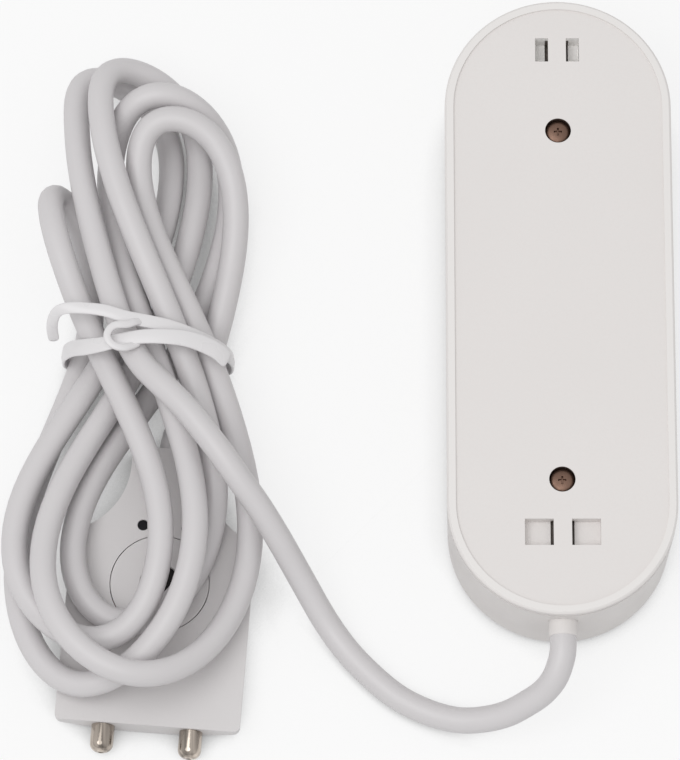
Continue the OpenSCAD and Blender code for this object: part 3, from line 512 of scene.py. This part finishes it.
profile = [(0, -STEM_LENGTH, 0), (STEM_R - STEM_EDGE, -STEM_LENGTH, 0),
           (STEM_R, -STEM_LENGTH + STEM_EDGE, 0), (STEM_R, 0, 0), (PIN_R - PIN_EDGE, 0, 0),
           (PIN_R, PIN_EDGE, 0)]
for k in range(PIN_ROUND_STEPS + 1):
    a = math.pi / 2 * k / PIN_ROUND_STEPS
    profile.append((PIN_R - PIN_ROUND + PIN_ROUND * math.cos(a),
                    PIN_REACH - PIN_ROUND + PIN_ROUND * math.sin(a), 0))
profile += [(DIMPLE_R + DIMPLE_EDGE, PIN_REACH, 0), (DIMPLE_R, PIN_REACH - DIMPLE_EDGE, 0),
            (DIMPLE_FLOOR_R, PIN_REACH - DIMPLE_DEPTH, 0), (0, PIN_REACH - DIMPLE_MIDDLE, 0)]
form = Form()
for x in (-PIN_X, PIN_X):
    form.turn(PROBE @ at(x, 0, PIN_Z, (0, -1, 0)), profile, PIN_SIDES)
pins = form.piece("contact_pins")

# Two cells: sleeve with rolled edges, metal ends, insulating ring and button
CELL_X = 5.45
CELL_Z = 12.3
CELL_R = 5.25
CELL_SIDES = 64
CELL_SHARP = 50
NEST = 24.0
SLEEVE, METAL, RING, BAND = range(4)
CELL_PROFILE = (
    (0, 0.05, METAL), (1.55, 0.05, METAL), (1.85, 0.25, METAL), (1.9, 0.75, METAL),
    (2.15, 0.85, METAL), (2.6, 0.86, RING), (4.5, 0.86, RING), (4.75, 0.7, SLEEVE),
    (5.1, 0.85, SLEEVE), (CELL_R, 1.2, SLEEVE), (CELL_R, 2.6, BAND), (CELL_R, 10.5, SLEEVE),
    (CELL_R, 43.4, SLEEVE), (5.1, 43.9, SLEEVE), (4.7, 44, METAL), (4.2, 44.2, METAL),
    (3.6, 44.5, METAL), (0, 44.5, METAL),
)
cells = []
for name, x, side in (("cell_left", -CELL_X, 1), ("cell_right", CELL_X, -1)):
    form = Form()
    form.turn(at(x, side * NEST, CELL_Z, (0, -side, 0)), CELL_PROFILE, CELL_SIDES)
    cells.append(form.piece(name, CELL_SHARP))

# Cone springs at the flat ends of the cells
SPRING_WIDE = 3.2
SPRING_NARROW = 1.8
SPRING_Y = 23.6
SPRING_LENGTH = 2.6
SPRING_Z = CELL_Z - 0.5
SPRING_TURNS = 2.5
SPRING_STEPS = 100
SPRING_WIRE = 0.35
SPRING_SHARP = 60
form = Form()
for x, side in ((-CELL_X, -1), (CELL_X, 1)):
    coil = []
    for i in range(SPRING_STEPS + 1):
        t = i / SPRING_STEPS
        r = mix(SPRING_WIDE, SPRING_NARROW, t)
        a = 2 * math.pi * SPRING_TURNS * t
        coil.append(Vector((x + r * math.cos(a), side * (SPRING_Y - SPRING_LENGTH * t),
                            SPRING_Z + r * math.sin(a))))
    form.tube(coil, SPRING_WIRE)
springs = form.piece("spring_coils", SPRING_SHARP)

# Small parts soldered on the board: chips with metal ends, a controller, a crystal, radio pads
BOARD_TOP = 6.2
BODY, SOLDER = range(2)
CHIP_SIZES = ((1.6, 0.8, 0.5), (1, 0.5, 0.4), (2, 1.2, 0.7))
CHIP_EDGE = 0.05
CHIP_END = 0.32
CHIP_END_INSET = 0.15
CHIP_END_EDGE = 0.04
CHIP_END_OVER = 0.06
CHIP_ROWS = 12
CHIP_ROW_START = -27.5
CHIP_ROW_STEP = 5
CHIP_ROW_SHIFT = 0.7
CHIP_ROW_X = 13.2
CHIP_ROW_ZIGZAG = 0.9
CHIP_PLACES = ((-5.5, 35.2), (5.5, 35.4), (-5, -36), (5.2, -35.6), (6.2, -47), (-6.4, -46.8),
               (-3, 50), (3.4, 50))
CONTROLLER = ((-13.9, 33), (3, 3, 0.9), 0.08, BODY)
CRYSTAL = ((13.6, -32.5), (1.6, 3.2, 0.8), 0.2, SOLDER)
PAD_X = 6.5
PAD_Y = 39.3
PAD_STEP = 1.27
PAD_COUNT = 6
PAD_SIZE = (0.3, 0.75, 0.86)
PAD_RISE = 0.4
PAD_EDGE = 0.05


def chip(form, x, y, size, along_y):
    """Chip with a metal cap at each end, lying along X or along Y."""
    long, wide, high = size
    middle = BOARD_TOP + high / 2
    body = (wide, long, high) if along_y else size
    form.block((x, y, middle), body, CHIP_EDGE, BODY)
    over = wide + CHIP_END_OVER
    tall = high + CHIP_END_OVER
    for end in (-1, 1):
        shift = end * (long / 2 - CHIP_END_INSET)
        if along_y:
            form.block((x, y + shift, middle), (over, CHIP_END, tall), CHIP_END_EDGE, SOLDER)
        else:
            form.block((x + shift, y, middle), (CHIP_END, over, tall), CHIP_END_EDGE, SOLDER)


form = Form()
for k in range(CHIP_ROWS):
    for side in (-1, 1):
        chip(form, side * (CHIP_ROW_X + CHIP_ROW_ZIGZAG * (k % 2)),
             CHIP_ROW_START + CHIP_ROW_STEP * k + CHIP_ROW_SHIFT * side,
             CHIP_SIZES[(k + side) % len(CHIP_SIZES)], (k + side) % 2 == 0)
for x, y in CHIP_PLACES:
    chip(form, x, y, CHIP_SIZES[0], False)
for place, size, edge, look in (CONTROLLER, CRYSTAL):
    form.block((*place, BOARD_TOP + size[2] / 2), size, edge, look)
for k in range(PAD_COUNT):
    for side in (-1, 1):
        form.block((side * PAD_X, PAD_Y + PAD_STEP * k, BOARD_TOP + PAD_RISE), PAD_SIZE, PAD_EDGE,
                   SOLDER)
fittings = form.piece("board_fittings")

# Header with two wire funnels and a ribbed back
HEADER_Y = -41.1
HEADER_SIZE = (6, 5, 4.9)
HEADER_EDGE = 0.25
FUNNEL_X = 0.8
FUNNEL_Z = 4.6
FUNNEL_SIDES = 24
FUNNEL = ((0, 0, 0), (0.75, 0, 0), (0.75, 0.45, 0), (0.62, 0.45, 0), (0.55, 0.35, 0), (0, 0.35, 0))
RIB_COUNT = 5
RIB_STEP = 1.2
RIB_BACK = 2.52
RIB_Z = 2.2
RIB_SIZE = (0.5, 0.3, 3.4)
RIB_EDGE = 0.08
form = Form()
form.block((0, HEADER_Y, BOARD_TOP + HEADER_SIZE[2] / 2), HEADER_SIZE, HEADER_EDGE)
for x in (-FUNNEL_X, FUNNEL_X):
    form.turn(at(x, HEADER_Y, BOARD_TOP + FUNNEL_Z), FUNNEL, FUNNEL_SIDES)
for k in range(RIB_COUNT):
    form.block((RIB_STEP * (k - (RIB_COUNT - 1) / 2), HEADER_Y + RIB_BACK, BOARD_TOP + RIB_Z),
               RIB_SIZE, RIB_EDGE)
header = form.piece("wire_block")


# Materials
class Nodes:
    """Short hand for the nodes of one material."""

    def __init__(self, name):
        self.material = bpy.data.materials.new(name)
        self.material.use_nodes = True
        self.tree = self.material.node_tree
        self.shader = self.tree.nodes["Principled BSDF"]
        self.place = self.add("ShaderNodeTexCoord").outputs["Object"]

    def add(self, kind, **values):
        node = self.tree.nodes.new(kind)
        for key, value in values.items():
            setattr(node, key, value)
        return node

    def feed(self, socket, value):
        """Gives a socket another node's output, or a fixed value."""
        if isinstance(value, bpy.types.NodeSocket):
            self.tree.links.new(value, socket)
        else:
            socket.default_value = value

    def maths(self, operation, *values, kind="ShaderNodeMath"):
        """Node that reckons with numbers, or with vectors."""
        node = self.add(kind, operation=operation)
        for socket, value in zip(node.inputs, values):
            self.feed(socket, value)
        return node.outputs

    def vector(self, operation, *values):
        return self.maths(operation, *values, kind="ShaderNodeVectorMath")

    def parts(self, vector):
        """X, Y and Z of a vector."""
        node = self.add("ShaderNodeSeparateXYZ")
        self.feed(node.inputs[0], vector)
        return node.outputs

    def both(self, *shares):
        """Share that is in all of the shares."""
        whole = shares[0]
        for share in shares[1:]:
            whole = self.maths("MULTIPLY", whole, share)[0]
        return whole

    def either(self, *shares):
        """Largest of the shares."""
        whole = shares[0]
        for share in shares[1:]:
            whole = self.maths("MAXIMUM", whole, share)[0]
        return whole

    def noise(self, scale, detail=2):
        node = self.add("ShaderNodeTexNoise")
        self.feed(node.inputs["Scale"], scale)
        self.feed(node.inputs["Detail"], detail)
        self.feed(node.inputs["Vector"], self.place)
        return node.outputs["Fac"]

    def span(self, value, low, high, from_low=0.3, from_high=0.7):
        """Value carried over from one range to another."""
        node = self.add("ShaderNodeMapRange")
        self.feed(node.inputs["Value"], value)
        self.feed(node.inputs["From Min"], from_low)
        self.feed(node.inputs["From Max"], from_high)
        self.feed(node.inputs["To Min"], low)
        self.feed(node.inputs["To Max"], high)
        return node.outputs["Result"]

    def past(self, value, border):
        """Share that grows from none to all across a border given in millimetres."""
        return self.span(value, 0, 1, border[0] * MM, border[1] * MM)

    def within(self, value, border):
        """Share that falls from all to none across a border given in millimetres."""
        return self.span(value, 1, 0, border[0] * MM, border[1] * MM)

    def blend(self, share, a, b):
        """Colour from a to b by share."""
        node = self.add("ShaderNodeMix", data_type="RGBA")
        self.feed(node.inputs["Factor"], share)
        for socket, color in ((node.inputs["A"], a), (node.inputs["B"], b)):
            self.feed(socket, (*color, 1) if isinstance(color, tuple) else color)
        return node.outputs["Result"]

    def bump(self, height, distance, strength):
        node = self.add("ShaderNodeBump")
        self.feed(node.inputs["Strength"], strength)
        self.feed(node.inputs["Distance"], distance)
        self.feed(node.inputs["Height"], height)
        return node.outputs["Normal"]

    def done(self, **values):
        """Feeds the shader's inputs by name, with a low line for each space."""
        for name, value in values.items():
            self.feed(self.shader.inputs[name.replace("_", " ")], value)
        return self.material


def linear(r, g, b):
    """Scene colour of an 8-bit screen colour."""
    return tuple(c / 12.92 if c <= 0.04045 else ((c + 0.055) / 1.055) ** 2.4
                 for c in (r / 255, g / 255, b / 255))


def shade(color, share):
    return tuple(c * share for c in color)


# Textures of plastic: scales in patches per metre, depth in metres, range of the noise and share
CLOUD = 55
GLOSS = 180
GRAIN = 5200
GRAIN_DEPTH = 0.00002
GRAIN_STRENGTH = 0.5
FLECK = 2400
FLECK_RANGE = (0.35, 0.65)
FLECK_SHARE = 0.35
# Textures of metal: drawn lines, their finer bumps and the coarser tarnish by share of their
# scale; drawn out and darkened on the pins, the colour noise is painted reflection
LINES = 900
LINE_BUMPS = 3
LINE_DEPTH = 0.00001
LINE_STRENGTH = 0.4
TARNISH_AND_BANDS = 0.35


def plastic(name, color, spread=0.03, rough=(0.42, 0.56), grain=GRAIN, depth=GRAIN_DEPTH, **fixed):
    """Moulded plastic: fine spark texture, faint cloudiness and slightly uneven gloss."""
    n = Nodes(name)
    tone = n.blend(n.span(n.noise(CLOUD, detail=3), 0, 1), shade(color, 1 - spread), color)
    fleck = n.span(n.noise(FLECK), 0, FLECK_SHARE, *FLECK_RANGE)
    tone = n.blend(fleck, tone, shade(color, 1 - spread / 2))
    return n.done(
        Base_Color=tone, Roughness=n.span(n.noise(GLOSS), *rough),
        Normal=n.bump(n.noise(grain), depth, GRAIN_STRENGTH), **fixed)


def metal(name, color, rough=(0.18, 0.34), scale=LINES, stretch=(1, 1, 1), dark=0.72):
    """Plated metal with fine drawn lines and slight tarnish; stretched and deeply darkened, as on
    the pins, its colour noise is painted reflection in streaks.
    """
    n = Nodes(name)
    mapping = n.add("ShaderNodeMapping")
    n.feed(mapping.inputs["Scale"], stretch)
    n.feed(mapping.inputs["Vector"], n.place)
    n.place = mapping.outputs["Vector"]
    tarnish_and_reflection_bands = n.span(n.noise(scale * TARNISH_AND_BANDS, detail=3), 0, 1)
    return n.done(
        Base_Color=n.blend(tarnish_and_reflection_bands, shade(color, dark), color),
        Roughness=n.span(n.noise(scale, detail=3), *rough),
        Normal=n.bump(n.noise(scale * LINE_BUMPS), LINE_DEPTH, LINE_STRENGTH), Metallic=1)


# Borders of the back cover's areas in millimetres, each a narrow change from one to the other
BAND_Z = (20.72, 20.92)
SUNK_Z = (20.35, 20.55)
WELL_R = (2.35, 2.4)
SLOT_FROM_Y = (35.5, 35.6)
SLOT_TO_Y = (48.2, 48.3)
SLOT_X = (6.5, 6.6)
GAP_X = (1.96, 1.98)
GAP_Z = (19.3, 19.5)
UPPER_Y = (-10, 10)
COVER_FIELD = linear(230, 226, 224)
COVER_BAND = linear(234, 231, 229)
# Slot pockets: painted light, lighter than the field to lift the shade inside them; the deeper
# upper pockets are lighter still
LOWER_SLOT_PAINTED_LIGHT = linear(231, 227, 225)
UPPER_SLOT_PAINTED_LIGHT = linear(252, 250, 248)
# Painted shade: dark colour low in the slots under and beside the bars, where shade falls in the
# gap
SLOT_GAP_PAINTED_SHADE = linear(92, 84, 78)
# Painted shade: dark brown on the walls of the screw wells, where shade falls round the heads
SCREW_WELL_PAINTED_SHADE = linear(66, 52, 45)
COVER_ROUGH = (0.46, 0.6)
COVER_CLOUD = 40
COVER_CLOUD_SHADE = 0.985
COVER_FLECK = 2600
COVER_FLECK_SHADE = 0.975
COVER_FLECK_RANGE = (0.4, 0.7)
COVER_FLECK_SHARE = 0.5


def cover(name):
    """Back cover: moulded field, brighter band round it, slot pockets painted lighter as painted
    light, and painted shade in the gaps under the slot bars and in the screw wells.
    """
    n = Nodes(name)
    half = n.vector("ABSOLUTE", n.place)["Vector"]
    x, y, z = n.parts(half)
    on_band = n.past(z, BAND_Z)
    sunk = n.within(z, SUNK_Z)
    from_well = n.vector("SUBTRACT", half, (0, SCREW_Y * MM, 0))["Vector"]
    level = n.vector("MULTIPLY", from_well, (1, 1, 0))["Vector"]
    well_painted_shade = n.both(sunk, n.within(n.vector("LENGTH", level)["Value"], WELL_R))
    in_slot = n.both(sunk, n.past(y, SLOT_FROM_Y), n.within(y, SLOT_TO_Y), n.within(x, SLOT_X))
    gap_painted_shade = n.both(in_slot, n.within(x, GAP_X), n.within(z, GAP_Z))
    upper = n.past(n.parts(n.place)["Y"], UPPER_Y)
    cloud = n.span(n.noise(COVER_CLOUD, detail=3), 0, 1)
    tone = n.blend(cloud, shade(COVER_FIELD, COVER_CLOUD_SHADE), COVER_FIELD)
    fleck = n.span(n.noise(COVER_FLECK), 0, COVER_FLECK_SHARE, *COVER_FLECK_RANGE)
    tone = n.blend(fleck, tone, shade(COVER_FIELD, COVER_FLECK_SHADE))
    tone = n.blend(on_band, tone, COVER_BAND)
    # Painted light in the slot pockets, stronger in the upper ones
    tone = n.blend(in_slot, tone, n.blend(upper, LOWER_SLOT_PAINTED_LIGHT, UPPER_SLOT_PAINTED_LIGHT))
    # Painted shade in the gaps under the slot bars
    tone = n.blend(gap_painted_shade, tone, SLOT_GAP_PAINTED_SHADE)
    # Painted shade inside the screw wells
    tone = n.blend(well_painted_shade, tone, SCREW_WELL_PAINTED_SHADE)
    return n.done(
        Base_Color=tone, Roughness=n.span(n.noise(GLOSS), *COVER_ROUGH),
        Normal=n.bump(n.noise(GRAIN), GRAIN_DEPTH, GRAIN_STRENGTH))


# Circuit board: lacquer in two tones, runs between them, and darker clouds
LACQUER = (linear(22, 92, 52), linear(26, 104, 58))
RUN_COLOR = linear(48, 140, 84)
RUN_SCALE = 420
RUN_WIDTH = 0.035
RUN_DEPTH = 0.00003
RUN_STRENGTH = 0.4
BOARD_DARK = linear(18, 78, 46)
BOARD_CLOUD = 120
BOARD_CLOUD_SHARE = 0.4
BOARD_GLOSS = 300
BOARD_ROUGH = (0.22, 0.36)


def board(name):
    """Circuit board: lacquer over a grid of copper runs."""
    n = Nodes(name)
    runs = n.add("ShaderNodeTexBrick")
    n.feed(runs.inputs["Vector"], n.place)
    n.feed(runs.inputs["Scale"], RUN_SCALE)
    n.feed(runs.inputs["Mortar Size"], RUN_WIDTH)
    n.feed(runs.inputs["Color1"], (*LACQUER[0], 1))
    n.feed(runs.inputs["Color2"], (*LACQUER[1], 1))
    n.feed(runs.inputs["Mortar"], (*RUN_COLOR, 1))
    cloud = n.span(n.noise(BOARD_CLOUD), 0, BOARD_CLOUD_SHARE)
    return n.done(
        Base_Color=n.blend(cloud, runs.outputs["Color"], BOARD_DARK),
        Roughness=n.span(n.noise(BOARD_GLOSS), *BOARD_ROUGH),
        Normal=n.bump(runs.outputs["Fac"], RUN_DEPTH, RUN_STRENGTH))


looks = {
    "case_plastic": plastic("case_plastic", linear(228, 224, 222)),
    "cover_plastic": cover("cover_plastic"),
    "probe_plastic": plastic(
        "probe_plastic", linear(217, 214, 214), rough=(0.32, 0.46), depth=0.000012),
    "cord_pvc": plastic("cord_pvc", linear(214, 211, 212), rough=(0.36, 0.46), grain=2600),
    "tie_plastic": plastic(
        "tie_plastic", linear(231, 229, 230), rough=(0.25, 0.38), grain=1800, depth=0.00003),
    "screw_steel": metal("screw_steel", linear(142, 114, 100), rough=(0.38, 0.52)),
    "probe_screw_black": metal("probe_screw_black", linear(40, 40, 42), rough=(0.35, 0.5)),
    "board_laminate": board("board_laminate"),
    "radio_can": metal("radio_can", linear(200, 202, 205), rough=(0.3, 0.45)),
    "black_plastic": plastic("black_plastic", linear(44, 44, 46), spread=0.15),
    "led_resin": plastic("led_resin", linear(238, 230, 190), rough=(0.15, 0.25)),
    "light_pipe_clear": plastic(
        "light_pipe_clear", linear(226, 232, 236), rough=(0.08, 0.15), Transmission_Weight=0.6),
    "cell_sleeve": plastic("cell_sleeve", linear(70, 98, 128), spread=0.08, rough=(0.2, 0.3)),
    "contact_metal": metal("contact_metal", linear(208, 205, 196)),
    # Contact pins: the dark streaks of colour along them are painted reflection of dark bands
    "pin_nickel": metal(
        "pin_nickel", linear(216, 204, 192), rough=(0.08, 0.18), scale=3000,
        stretch=(1, 0.03, 1), dark=0.25),
    "header_nylon": plastic("header_nylon", linear(236, 230, 214)),
    "wire_insulation": plastic("wire_insulation", linear(170, 40, 34), rough=(0.3, 0.4)),
    "core_pvc": plastic("core_pvc", linear(205, 205, 205)),
    "magnet_black": metal("magnet_black", linear(52, 50, 50), rough=(0.4, 0.55)),
}
cell_band = plastic("cell_band", linear(196, 198, 202), spread=0.06, rough=(0.25, 0.35))
chip_body = plastic("chip_body", linear(58, 50, 46), spread=0.2, rough=(0.35, 0.5))

# Piece, body, slot, looks of its faces, and the CAD nodes that it stands for
CELL_LOOKS = (looks["cell_sleeve"], looks["contact_metal"], looks["black_plastic"], cell_band)
DRESS = (
    (cord, "case", "cord_pvc", (looks["cord_pvc"],), ("cord_lead", "cord_hank")),
    (tie, "case", "tie_plastic", (looks["tie_plastic"],), ("twist_tie",)),
    (knot, "case", "tie_plastic", (looks["tie_plastic"],), ("tie_knot",)),
    (screws, "cover", "screw_steel", (looks["screw_steel"],), ("cover_screws",)),
    (pins, "case", "pin_nickel", (looks["pin_nickel"],), ("probe_pins",)),
    (cells[0], "case", "cell_sleeve", CELL_LOOKS, ("battery_left",)),
    (cells[1], "case", "cell_sleeve", CELL_LOOKS, ("battery_right",)),
    (springs, "case", "contact_metal", (looks["contact_metal"],), ("battery_springs",)),
    (fittings, "case", "board_laminate", (chip_body, looks["contact_metal"]), ()),
    (header, "case", "header_nylon", (looks["header_nylon"],), ("wire_header",)),
)
for piece, body, slot, faces, nodes in DRESS:
    piece.data.materials.clear()
    for look in faces:
        piece.data.materials.append(look)
    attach(piece, body)
    if nodes:
        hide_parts(*nodes)

# CAD nodes that stay in view: their slot's look, and edges softened as moulding leaves them
SOFT_EDGES = {"cable_gland": 0.15, "battery_tray": 0.15, "radio_module": 0.2, "tact_switch": 0.1,
              "status_led": 0.12, "battery_plates": 0.08}
SOFT_SEGMENTS = 2
SOFT_ANGLE = 40
WELD_DISTANCE = 0.002
FULL_WEIGHT = 100
slot_of = {part["node"]: part["material_slot"] for part in frame["record"]["subparts"]}
for name, node in frame["nodes"].items():
    node.data.materials.clear()
    node.data.materials.append(looks[slot_of[name]])
    if name in SOFT_EDGES:
        weld = node.modifiers.new("weld", "WELD")
        weld.merge_threshold = WELD_DISTANCE * MM
        soft = node.modifiers.new("soft_edges", "BEVEL")
        soft.width = SOFT_EDGES[name] * MM
        soft.segments = SOFT_SEGMENTS
        soft.limit_method = "ANGLE"
        soft.angle_limit = math.radians(SOFT_ANGLE)
        soft.use_clamp_overlap = False
        even = node.modifiers.new("even_normals", "WEIGHTED_NORMAL")
        even.weight = FULL_WEIGHT
        even.keep_sharp = False

# Floor: matt and pale, with a glow in views and reflections that fades close to the part as a
# painted contact shadow
FLOOR_HALF = 6.0
FLOOR_DROP = 0.0002
FLOOR_TONES = ((0.70, 0.70, 0.70), (0.72, 0.72, 0.72))
FLOOR_CLOUD = 3
FLOOR_ROUGH = 0.9
FLOOR_SHINE = 0.1
GLOW_SHARE = 0.75
GLOW_RANGE = (0.05, 1.05)
NEAR_REACH = 0.01
NEAR_RANGE = (0.1, 0.62)
NEAR_SAMPLES = 8
corners = [(x * FLOOR_HALF, y * FLOOR_HALF, 0) for x, y in ((-1, -1), (1, -1), (1, 1), (-1, 1))]
mesh = bpy.data.meshes.new("floor")
mesh.from_pydata(corners, [], [(0, 1, 2, 3)])
floor = show(bpy.data.objects.new("floor", mesh))
floor.location.z = -FLOOR_DROP
n = Nodes("floor_white")
n.done(Base_Color=n.blend(n.span(n.noise(FLOOR_CLOUD), 0, 1), *FLOOR_TONES),
       Roughness=FLOOR_ROUGH, Specular_IOR_Level=FLOOR_SHINE)
rays = n.add("ShaderNodeLightPath").outputs
seen = n.either(rays["Is Camera Ray"], rays["Is Glossy Ray"], rays["Is Transmission Ray"])
# Ambient occlusion dims the glow near the part: painted contact shadow
near = n.add("ShaderNodeAmbientOcclusion", samples=NEAR_SAMPLES)
n.feed(near.inputs["Distance"], NEAR_REACH)
glow = n.add("ShaderNodeEmission")
n.feed(glow.inputs["Strength"], n.span(near.outputs["AO"], *GLOW_RANGE, *NEAR_RANGE))
surface = n.add("ShaderNodeMixShader")
n.feed(surface.inputs[0], n.both(seen, GLOW_SHARE))
n.feed(surface.inputs[1], n.shader.outputs[0])
n.feed(surface.inputs[2], glow.outputs[0])
n.feed(n.tree.nodes["Material Output"].inputs["Surface"], surface.outputs[0])
floor.data.materials.append(n.material)

# One large soft lamp high on the left, and an even white world
KEY_AT = Vector((-0.45, -0.3, 1.35))
KEY_AIM = Vector((-0.03, 0, 0))
KEY_SIZE = 1.3
KEY_WATTS = 8.2
WORLD_STRENGTH = 0.64
key = show(bpy.data.objects.new("key", bpy.data.lights.new("key", "AREA")))
key.data.shape = "DISK"
key.data.size = KEY_SIZE
key.data.energy = KEY_WATTS
key.location = KEY_AT
key.rotation_euler = (KEY_AIM - KEY_AT).to_track_quat("-Z", "Y").to_euler()
world = bpy.data.worlds.new("world")
world.use_nodes = True
sky = world.node_tree.nodes["Background"]
sky.inputs["Color"].default_value = (1, 1, 1, 1)
sky.inputs["Strength"].default_value = WORLD_STRENGTH
bpy.context.scene.world = world

bpy.context.view_layer.update()
